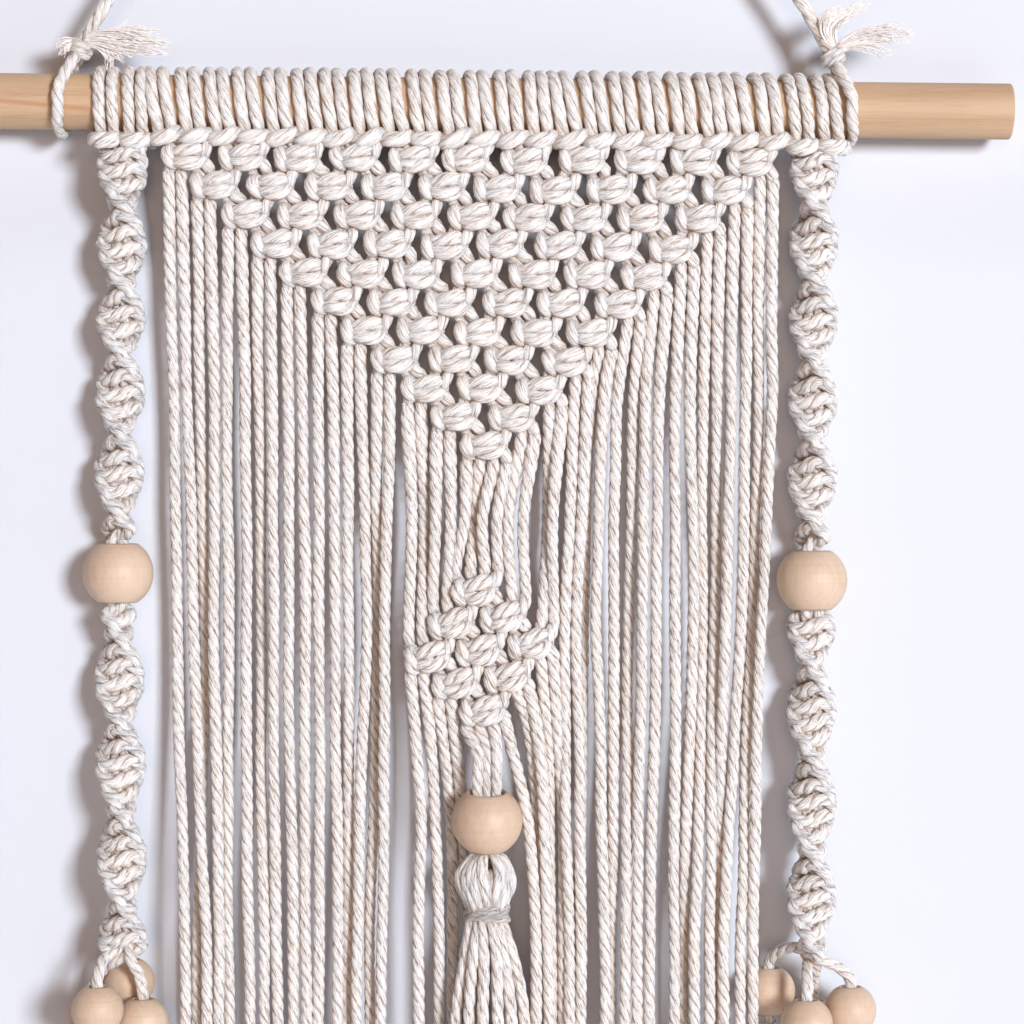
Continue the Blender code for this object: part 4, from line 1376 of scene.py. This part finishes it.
@dataclass
class Bead:
    """A turned ball with a bore and softened lips; its top may tilt to the front."""

    node: str
    centre: tuple
    radius: float
    bore: float
    tilt: float = 0.0
    lip: float = 0.0005
    segments: int = 64

    def profile(self) -> np.ndarray:
        """The ball's arc from its lower lip to its upper one, and back through the bore.

        Returns:
            Rows of radius and height.
        """
        limit = math.asin((self.bore + self.lip) / self.radius)
        angles = np.linspace(math.pi - limit, limit, 26)
        ball = columns(np.sin(angles), np.cos(angles)) * self.radius
        half = ball[-1, 1]
        lips = np.array(((0.55, -0.25), (0.15, -0.7), (0.0, -1.4))) * self.lip
        upper = lips + (self.bore, half)
        lower = (lips * (1, -1) + (self.bore, -half))[::-1]
        return np.vstack([ball, upper, lower])

    def build(self, wood: Material) -> Object:
        """Make the bead.

        Args:
            wood: its finish.

        Returns:
            The piece.
        """
        surface = turned_surface(self.profile(), self.segments)
        x, y, z = surface.vertices.T
        cos, sin = math.cos(self.tilt), math.sin(self.tilt)
        surface.vertices = columns(x, y * cos - z * sin, y * sin + z * cos) + self.centre
        return surface.piece(self.node + "_turned", wood, "bead_wood", (self.node,))


@dataclass
class Dowel:
    """The round pine stick, with slightly eased ends."""

    easing: float = 0.0007
    segments: int = 96

    def build(self, wood: Material) -> Object:
        """Make the stick.

        Args:
            wood: its finish.

        Returns:
            The piece, laid along the tilted axis.
        """
        half = DOWEL_LENGTH / 2
        corner = np.linspace(0.0, math.pi / 2, 5)
        radii = DOWEL_RADIUS - self.easing + self.easing * np.sin(corner)
        ends = half - self.easing + self.easing * np.cos(corner)
        face = np.array(((0.00001, half), (0.004, half)))
        rim = np.vstack([face, columns(radii, ends)])
        body = columns(DOWEL_RADIUS, np.linspace(0.9 * half, -0.9 * half, 9))
        profile = np.vstack([rim, body, (rim * (1, -1))[::-1]])[::-1]
        surface = turned_surface(profile, self.segments)
        across, deep, along = surface.vertices.T
        x = along * math.cos(DOWEL_TILT) + across * math.sin(DOWEL_TILT) + DOWEL_SHIFT
        z = -along * math.sin(DOWEL_TILT) + across * math.cos(DOWEL_TILT) - DOWEL_DROP
        surface.vertices = columns(x, -deep, z)
        return surface.piece("dowel_stick", wood, "dowel_wood", ("dowel",))


# Tassel and tied ends


@dataclass
class Tassel:
    """A folded bundle of cord, bound at its neck, with a loose skirt."""

    cotton: Material
    squash: float = 0.78
    head_radius: float = 6.6
    neck_radius: float = 4.4
    binding_radius: float = 5.7
    binding_turns: float = 6.3
    fold: Lay = Lay(radius=0.0018, pitch=0.030, valley=0.80, step=0.0012)
    skirt: Lay = Lay(radius=0.0017, pitch=0.016, valley=0.78, step=0.0014)
    thread: Lay = Lay(radius=0.00085, pitch=0.012, valley=0.86, step=0.0009)

    def round_axis(self, angle: float, rows: tuple) -> np.ndarray:
        """Rows of (radius, drop from the top, girth, swing) in millimetres and radians."""
        radii, drops, girths, swings = np.array(rows).T
        x = CENTRE_BEAD[0] + radii * np.cos(angle + swings) * MM
        y = CENTRE_BEAD[1] + radii * np.sin(angle + swings) * MM * self.squash
        return hung(x, y, TASSEL_DROP + drops * MM, girths)

    def folds(self, wander: Wander) -> list[Surface]:
        """The head: two lobes of folded cord, parted in front, with short ones between.

        A fold swings away from the parting by k exp(-(a/30)^2), a its degrees from it.

        Args:
            wander: the source of chance.

        Returns:
            The folds' surfaces.
        """
        surfaces = []
        parting = 279.0
        for degrees in (150, 172, 194, 214, 233, 250, 265, 293, 309, 326, 346, 10, 40, 75, 110):
            degrees += wander.nudge(3.0)
            away = degrees - parting
            swing = math.copysign(math.radians(15.0), away) * math.exp(-((away / 30.0) ** 2))
            wide = self.head_radius + (0.5 if 100 < degrees < parting else -0.3)
            rows = (
                (1.6, 0.2, 0.8, swing),
                (4.4, 1.8, 0.95, swing),
                (wide, 5.8, 1.05, swing),
                (wide, 9.6, 1.0, swing * 0.5),
                (self.neck_radius + 0.6, 13.8, 0.9, 0.0),
                (self.neck_radius, 17.5, 0.85, 0.0),
            )
            route = wander.shaken(self.round_axis(math.radians(degrees), rows), 0.00028)
            surfaces.append(self.fold.surface(route, wander.phase()))
        short = columns((3.0, 5.3, 5.3, 4.3), (4.6, 7.6, 11.5, 16.0), (0.6, 0.75, 0.8, 0.7), 0.0)
        for degrees in (255, 272, 290):
            route = self.round_axis(math.radians(degrees), short)
            surfaces.append(self.fold.surface(route, wander.phase()))
        return surfaces

    def binding(self, wander: Wander) -> Surface:
        """Turns of thin thread round the neck, uneven and rising to the right in front.

        Args:
            wander: the source of chance.

        Returns:
            The thread's surface.
        """
        turns = np.linspace(0.0, self.binding_turns * TURN, 100)
        loose = wander.waves(turns, 0.35)
        radii = self.binding_radius + 0.5 * loose
        x = CENTRE_BEAD[0] + radii * np.cos(turns) * MM
        y = CENTRE_BEAD[1] + radii * np.sin(turns) * MM * self.squash * 1.06
        slant = 0.5 + 0.45 * np.sin(turns / TURN * 2.1)
        drops = 15.0 + turns / TURN * 0.62 - slant * np.cos(turns) + loose
        return self.thread.surface(hung(x, y, TASSEL_DROP + drops * MM, 1.0), wander.phase())

    def strands(self, wander: Wander) -> list[Surface]:
        """The skirt: two rings of strands that spread from the neck.

        Args:
            wander: the source of chance.

        Returns:
            The strands' surfaces.
        """
        surfaces = []
        length = (TASSEL_END - TASSEL_DROP) / MM
        for radius, count in ((self.neck_radius, 12), (2.0, 5)):
            for i in range(count):
                angle = TURN * (i + 0.5 + wander.nudge(0.12)) / count
                spread = wander.rng.normal(1.0, 0.05)
                end = length - abs(wander.nudge(1.5))
                rows = (
                    (radius, 15.5, 0.75, 0.0),
                    (radius * 1.05, 19.0, 0.85, 0.0),
                    (radius * 1.55 * spread, 28.0, 1.0, 0.0),
                    (radius * 2.15 * spread, 44.0, 1.06, 0.0),
                    (radius * 2.3 * spread, 66.0, 1.06, 0.0),
                    (radius * 2.3 * spread, end, 1.06, 0.0),
                )
                route = wander.shaken(self.round_axis(angle, rows), 0.00022)
                route[2:, 0] += 1.4 * MM * np.linspace(0.4, 1.0, len(route) - 2)
                surfaces.append(self.skirt.surface(route, wander.phase()))
        return surfaces

    def build(self) -> Object:
        """Make the tassel.

        Returns:
            The one piece.
        """
        wander = Wander(5)
        whole = Surface.joined([*self.folds(wander), self.binding(wander), *self.strands(wander)])
        return whole.piece("tassel_cords", self.cotton, "cotton_cord", ("tassel",))


class Tuft(NamedTuple):
    """A bundle of loose fibres: how many, and their path in millimetres.

    The path's columns are across, towards the viewer, up and the bundle's half width.
    """

    count: int
    path: tuple
    thickness: float = 0.15


def filaments(tuft: Tuft, origin: tuple, wander: Wander) -> Surface:
    """Loose fibres that fan out along a path.

    Fibre i follows p(t) + w(t) (a side + b up) + waves, t from 0 to its own end, with a and
    b its place across the bundle and w the bundle's half width; its section is a square.

    Args:
        tuft: the bundle.
        origin: the place that its path counts from.
        wander: the source of chance.

    Returns:
        The fibres' surface.
    """
    rng = wander.rng
    across, front, up, width = np.array(tuft.path).T * MM
    line = smooth_route(columns(across, -front, up, width) + (*origin, 0.0), 0.0011)
    whole = np.linspace(0.0, 1.0, len(line))
    deep = np.array((0.0, 1.0, 0.0))
    corners = np.arange(4)[None] * TURN / 4
    surfaces = []
    for _ in range(tuft.count):
        share = rng.uniform(0.45, 1.0)
        t = np.linspace(0.0, share, 14)
        middle = read_at(line, whole, t)
        centre, width = middle[:, :3], middle[:, 3:4]
        a = rng.uniform(-1.0, 1.0)
        b = rng.normal(0.0, 0.35)
        side = unit(np.cross(unit(np.gradient(centre, axis=0)), deep))
        wave = np.sin(t * rng.uniform(5.0, 15.0) + wander.phase()) * t * rng.uniform(0.10, 0.55)
        lift = np.sin(t * rng.uniform(3.0, 9.0) + wander.phase()) * t * 0.5
        aside = (a + wave)[:, None] * width * side
        centre = centre + aside + (b + lift)[:, None] * width * deep * 0.6
        taper = tuft.thickness * MM * (1.0 - 0.5 * t / share)
        surfaces.append(tube(centre, corners, taper[:, None], t * 0.03))
    return Surface.joined(surfaces)


LEFT_TUFTS = (
    Tuft(150, (
        (0.8, 1.0, 1.6, 1.0), (5.0, 2.8, 2.6, 2.0), (12.0, 4.0, 1.4, 3.0), (26.5, 4.6, -0.8, 2.2),
    )),
    Tuft(60, (
        (0.8, 1.0, 1.8, 0.8), (6.0, 2.4, 3.6, 1.1), (13.0, 3.4, 4.4, 1.3), (24.0, 4.0, 4.2, 1.0),
    )),
    Tuft(70, (
        (0.8, 1.0, 1.2, 1.0), (5.0, 2.4, 1.2, 1.6), (10.0, 3.4, -1.2, 2.0), (14.5, 4.0, -4.4, 1.6),
    )),
    Tuft(30, (
        (1.0, 1.0, 1.0, 0.8), (5.5, 2.6, 0.2, 1.0), (8.6, 3.2, -3.4, 1.2), (8.8, 3.4, -7.2, 1.0),
    )),
    Tuft(50, (
        (-0.8, 1.0, 1.2, 1.0), (-3.4, 2.2, 1.0, 1.8), (-5.0, 2.8, 0.0, 2.0), (-6.2, 3.0, -2.8, 1.6),
    )),
    Tuft(3, (
        (3.0, 1.5, 2.4, 0.3), (9.0, 3.0, 4.0, 0.4), (14.0, 3.5, 8.0, 0.4), (17.1, 3.5, 13.6, 0.3),
    ), 0.11),
)
RIGHT_TUFTS = (
    Tuft(55, (
        (0.0, 1.0, 2.4, 1.0), (-2.6, 2.0, 6.4, 1.4), (-2.4, 2.8, 10.4, 1.5), (3.0, 3.4, 13.6, 1.2),
    )),
    Tuft(60, (
        (0.4, 1.0, 2.4, 1.0), (-0.6, 2.0, 7.4, 1.5), (3.4, 2.8, 11.4, 1.7), (10.6, 3.2, 15.4, 1.1),
    )),
    Tuft(110, (
        (1.0, 1.0, 2.0, 1.0), (6.5, 2.6, 4.6, 2.0), (13.5, 3.8, 5.8, 2.6), (22.8, 4.5, 4.2, 3.0),
    )),
    Tuft(40, (
        (1.0, 1.0, 1.4, 0.8), (6.0, 2.6, 2.4, 1.4), (11.0, 3.6, 1.6, 1.8), (16.0, 4.2, -1.6, 2.0),
    )),
)


@dataclass
class HangingCord:
    """The cord over the hook, its two knots and their frayed ends."""

    cotton: Material
    combed: Material
    lay: Lay = Lay(radius=0.0019, pitch=0.0185, valley=0.66, step=0.0012)
    knot_lay: Lay = Lay(radius=0.0018, step=0.0010)

    def span(self) -> Object:
        """The taut cord between its knots.

        Returns:
            The piece.
        """
        route = columns(*np.array(HANGER_ROUTE).T, 1.0)
        line = smooth_route(route, 0.005)[:, :3]
        surface = self.lay.surface(route, 0.4)
        piece = surface.piece("hanging_cord", self.cotton, "cotton_cord", ("hanger_cord",))
        return piece

    def neck(self, side: int) -> Surface:
        """The taut cord's last few millimetres, inside its knot.

        Args:
            side: -1 for the left end, 1 for the right one.

        Returns:
            Their surface.
        """
        last, before = (-1, -2) if side > 0 else (0, 1)
        end = np.array(HANGER_ROUTE[last])
        reach = np.array((-1.5, 0.5, 2.5, 4.5)) * MM
        points = end + reach[:, None] * unit(end - HANGER_ROUTE[before])
        return self.lay.surface(columns(*points.T, (1.0, 1.04, 1.0, 0.85)), 1.0)

    def tied_end(self, side: int, loop: tuple, tufts: tuple, wander: Wander) -> list[Object]:
        """A loop round the dowel, its knot and the frayed ends.

        Args:
            side: -1 for the left end, 1 for the right one.
            loop: x of the loop at the knot, in front of the dowel, below it and behind it.
            tufts: the frayed ends, counted from the knot.
            wander: the source of chance.

        Returns:
            The knot with its loop, and the fibres.
        """
        x = side * KNOT_ACROSS
        near, front, below, back = loop
        reach = DOWEL_RADIUS / MM + 2.0
        ring = (
            (x, KNOT_FRONT + 0.4, 14.4, 0.9),
            (near, 7.6, 9.4, 1.0),
            (front, reach - 0.2, 2.2, 1.0),
            (front, reach - 0.4, -3.0, 1.0),
            (below, 6.2, -6.9, 0.95),
            (below, 0.0, -reach + 0.8, 0.82),
            (below, -6.5, -7.2, 0.95),
            (back, -reach, 0.0, 1.0),
            (back, -7.0, 7.2, 1.0),
            (near, -2.0, 11.0, 1.0),
            (x, 2.0, 13.6, 0.9),
        )
        base = level(x * MM, 0.0)
        surfaces = [pressed_on_dowel(self.knot_lay.surface(route_at(ring, 0.0, 0.0, base), 0.3))]
        turns = np.linspace(0.0, 2.15 * TURN, 22)
        lean = -0.45 * side
        coil = columns(
            x + 2.05 * np.cos(turns) + lean * (turns / TURN - 1.0),
            KNOT_FRONT + 2.0 * np.sin(turns),
            14.9 + (turns / TURN - 1.1) * 1.5 + 1.0 * np.cos(turns) * side,
            0.90,
        )
        surfaces.append(self.knot_lay.surface(route_at(coil, 0.0, 0.0, base), 1.1))
        surfaces.append(self.neck(side))
        origin = (x * MM, -KNOT_FRONT * MM, base + KNOT_LIFT * MM)
        fibres = [filaments(tuft, origin, wander) for tuft in tufts]
        name = "hanger_knot_" + ("left" if side < 0 else "right")
        return [
            Surface.joined(surfaces).piece(name + "_cords", self.cotton, "cotton_cord", (name,)),
            Surface.joined(fibres).piece(name + "_fibres", self.combed, "cotton_cord", (name,)),
        ]

    def build_ends(self) -> list[Object]:
        """Make both tied ends.

        Returns:
            The knots and their fibres.
        """
        wander = Wander(23)
        return [
            *self.tied_end(-1, (-110.6, -113.5, -114.2, -112.8), LEFT_TUFTS, wander),
            *self.tied_end(1, (109.6, 112.4, 113.3, 112.6), RIGHT_TUFTS, wander),
        ]


# Studio


@dataclass
class Studio:
    """The camera, plain soft light, a pale wall close behind and a floor."""

    aim: tuple = (0.0157, -0.006, -0.2669)
    distance: float = 0.80
    lens: float = 98.4
    light_distance: float = 5.0
    wall_y: float = 0.0128
    wall_near: float = 0.0046
    floor_z: float = -1.25
    wall_top: float = 1.2
    half_width: float = 2.5

    def camera(self) -> None:
        """Set the camera square to the hanging."""
        camera = linked("camera", bpy.data.cameras.new("camera"))
        camera.data.lens = self.lens
        camera.data.sensor_width = 36.0
        camera.data.clip_start = 0.01
        camera.location = (self.aim[0], self.aim[1] - self.distance, self.aim[2])
        camera.rotation_euler = (math.pi / 2, 0.0, 0.0)
        bpy.context.scene.camera = camera
        bpy.context.scene.view_settings.view_transform = "Standard"

    def light(self, name: str, bearing: tuple, size: float, power: float, colour: tuple) -> None:
        """Add an area light that faces the hanging.

        Args:
            name: the light's name.
            bearing: degrees to the right of straight ahead and above the hanging's middle.
            size: its side.
            power: in watts.
            colour: its colour.
        """
        light = linked(name, bpy.data.lights.new(name, "AREA"))
        light.data.shape = "SQUARE"
        light.data.size = size
        light.data.energy = power
        light.data.color = colour
        across, up = (math.radians(angle) for angle in bearing)
        level_part = math.cos(up)
        direction = (math.sin(across) * level_part, -math.cos(across) * level_part, math.sin(up))
        light.location = tuple(a + d * self.light_distance for a, d in zip(self.aim, direction))
        light.rotation_euler = (math.pi / 2 - up, 0.0, across)

    def lights(self) -> None:
        """One window-like light from the right, a weak warm one in front and one all round.

        The one all round is too weak to be looked at, so past the walls a camera sees a
        pale ground in its place.
        """
        self.light("window", (28.0, 7.0), 1.1, 284.0, (0.875, 0.925, 1.0))
        self.light("lamp", (0.0, 2.0), 1.6, 45.0, (1.0, 0.66, 0.47))
        world = bpy.data.worlds.new("room")
        nodes = Nodes(world)
        glow = nodes.tree.nodes["Background"]
        nodes.feed(glow.inputs["Color"], (1.0, 0.67, 0.51))
        nodes.feed(glow.inputs["Strength"], 0.10)
        ground = nodes.add("ShaderNodeBackground", {}, {"Color": (0.72, 0.73, 0.76)})
        seen = nodes.add("ShaderNodeLightPath", {}, {}).outputs["Is Camera Ray"]
        nodes.choose(seen, glow.outputs[0], ground.outputs[0])
        bpy.context.scene.world = world

    def plane(self, name: str, corners: list, faces: list, finish: PlasterFinish) -> None:
        """Add a smooth surface of the stage.

        Args:
            name: the object's name.
            corners: its vertices.
            faces: each face's corners, by number.
            finish: its material.
        """
        mesh = bpy.data.meshes.new(name)
        mesh.from_pydata(corners, [], faces)
        mesh.shade_smooth()
        mesh.materials.append(finish.material())
        obj = linked(name, mesh)

    def wall_depth(self, z: np.ndarray) -> np.ndarray:
        """The wall's y at heights: it swells towards the hanging's middle.

        It is far - (far - near) (s(a) - s(b)), with s a smooth step and a and b the shares
        of the two eases that lie above a height.

        Args:
            z: the heights.

        Returns:
            The depths.
        """
        drops = (-DOWEL_DROP - z) / MM
        swell = 0.0
        for start, span, sign in ((11.5, 40.0, 1), (165.0, 75.0, -1)):
            share = np.clip((drops - start) / span, 0.0, 1.0)
            swell = swell + sign * share * share * (3 - 2 * share)
        return self.wall_y - (self.wall_y - self.wall_near) * swell

    def room(self) -> None:
        """Add the wall, which is clear from behind, and the floor."""
        low, wide = self.floor_z, self.half_width
        heights = np.array((low, *np.linspace(-0.45, -0.15, 76), self.wall_top))
        depths = self.wall_depth(heights)
        wall = [(x, y, z) for y, z in zip(depths.tolist(), heights.tolist()) for x in (-wide, wide)]
        faces = [(i, i + 1, i + 3, i + 2) for i in range(0, len(wall) - 2, 2)]
        plaster = PlasterFinish("wall_plaster", (0.672, 0.695, 0.745), one_sided=True)
        self.plane("wall", wall, faces, plaster)
        floor = [(-wide, -wide, low), (wide, -wide, low), (wide, wide, low), (-wide, wide, low)]
        plaster = PlasterFinish("floor_plaster", (0.80, 0.81, 0.83), one_sided=False)
        self.plane("floor", floor, [(0, 1, 2, 3)], plaster)


def read_vectors(data: bpy.types.bpy_prop_collection, name: str) -> np.ndarray:
    """Rows of a three-part property of a mesh's data."""
    values = np.empty(3 * len(data), np.float32)
    data.foreach_get(name, values)
    return values.reshape(-1, 3)


# Painted shade between cords: a cell's side, the free cells round all points, how far out
# each point looks, and the counts at which the painted shade begins and is full
CELL = 0.001
MARGIN = 8
LOOKS = (0.0014, 0.0030, 0.0046)
OPEN_COUNT = 0.48
FULL_COUNT = 1.38


def paint_shade_between_cords(pieces: list[Object]) -> None:
    """Mark how far each point of the cords is hemmed in by others, from 0 to 1.

    All points are counted into cubic cells, the counts are averaged with their neighbours
    along each axis, and a point sums them at three places out along its normal. The mark
    is the share of painted shade, standing in for occlusion, that the cotton mixes into
    its colour.

    Args:
        pieces: the cords' objects.
    """
    places = [read_vectors(piece.data.vertices, "co") for piece in pieces]
    every = np.concatenate(places)
    low = every.min(0) - MARGIN * CELL
    size = np.ceil((every.max(0) + MARGIN * CELL - low) / CELL).astype(int)
    counts = np.zeros(size, np.float32)
    np.add.at(counts, tuple(((every - low) / CELL).astype(int).T), 1.0)
    for axis in (0, 1, 2, 0, 1, 2):
        counts = (counts + np.roll(counts, 1, axis) + np.roll(counts, -1, axis)) / 3
    for piece, place in zip(pieces, places):
        normal = read_vectors(piece.data.vertex_normals, "vector")
        total = np.zeros(len(place), np.float32)
        for reach in LOOKS:
            spot = ((place + normal * reach - low) / CELL).astype(int)
            total += counts[tuple(spot.T)]
        # The share of painted shade that each point's colour gets.
        painted_shade = np.clip((total - OPEN_COUNT) / (FULL_COUNT - OPEN_COUNT), 0.0, 1.0)
        marks = piece.data.attributes.new("painted_shade", "FLOAT", "POINT")
        marks.data.foreach_set("value", painted_shade)
        LOG.info("%s: shelter %.2f on average", piece.name, painted_shade.mean())


def beads() -> list[Bead]:
    """All beads, large and small, at their nodes' places.

    Returns:
        The beads, not yet built.
    """
    threaded = []
    for node in sorted(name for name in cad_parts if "bead" in name):
        low, high = (np.array(corner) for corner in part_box(node))
        large = (high - low)[0] > BIG_BEAD_RADIUS + SMALL_BEAD_RADIUS
        radius, bore = (BIG_BEAD_RADIUS, BIG_BORE) if large else (SMALL_BEAD_RADIUS, SMALL_BORE)
        tilt = CENTRE_BEAD_TILT if node == "centre_bead" else 0.0
        threaded.append(Bead(node, tuple((low + high) / 2), radius, bore, tilt))
    return threaded


def main() -> None:
    """Build the stage and every piece of the hanging."""
    logging.basicConfig(level=logging.INFO, format="%(message)s")
    studio = Studio()
    studio.camera()
    cotton = CottonFinish("cotton", lag=12.0, ply_share=0.55, streak_share=0.52).material()
    hanging_cotton = CottonFinish("hanging_cotton").material()
    hanging = HangingCord(cotton, CombedFinish("combed_cotton").material())
    cords = [hanging.span(), *hanging.build_ends()]
    studio.lights()
    studio.room()
    cords += Panel(cotton, hanging_cotton).build()
    for sinnet in sinnets(hanging_cotton):
        cords += sinnet.build()
    cords.append(Tassel(hanging_cotton).build())
    paint_shade_between_cords(cords)
    beech = BeechFinish("beech").material()
    for bead in beads():
        bead.build(beech)
    Dowel().build(PineFinish("pine").material())


if __name__ == "__main__":
    main()
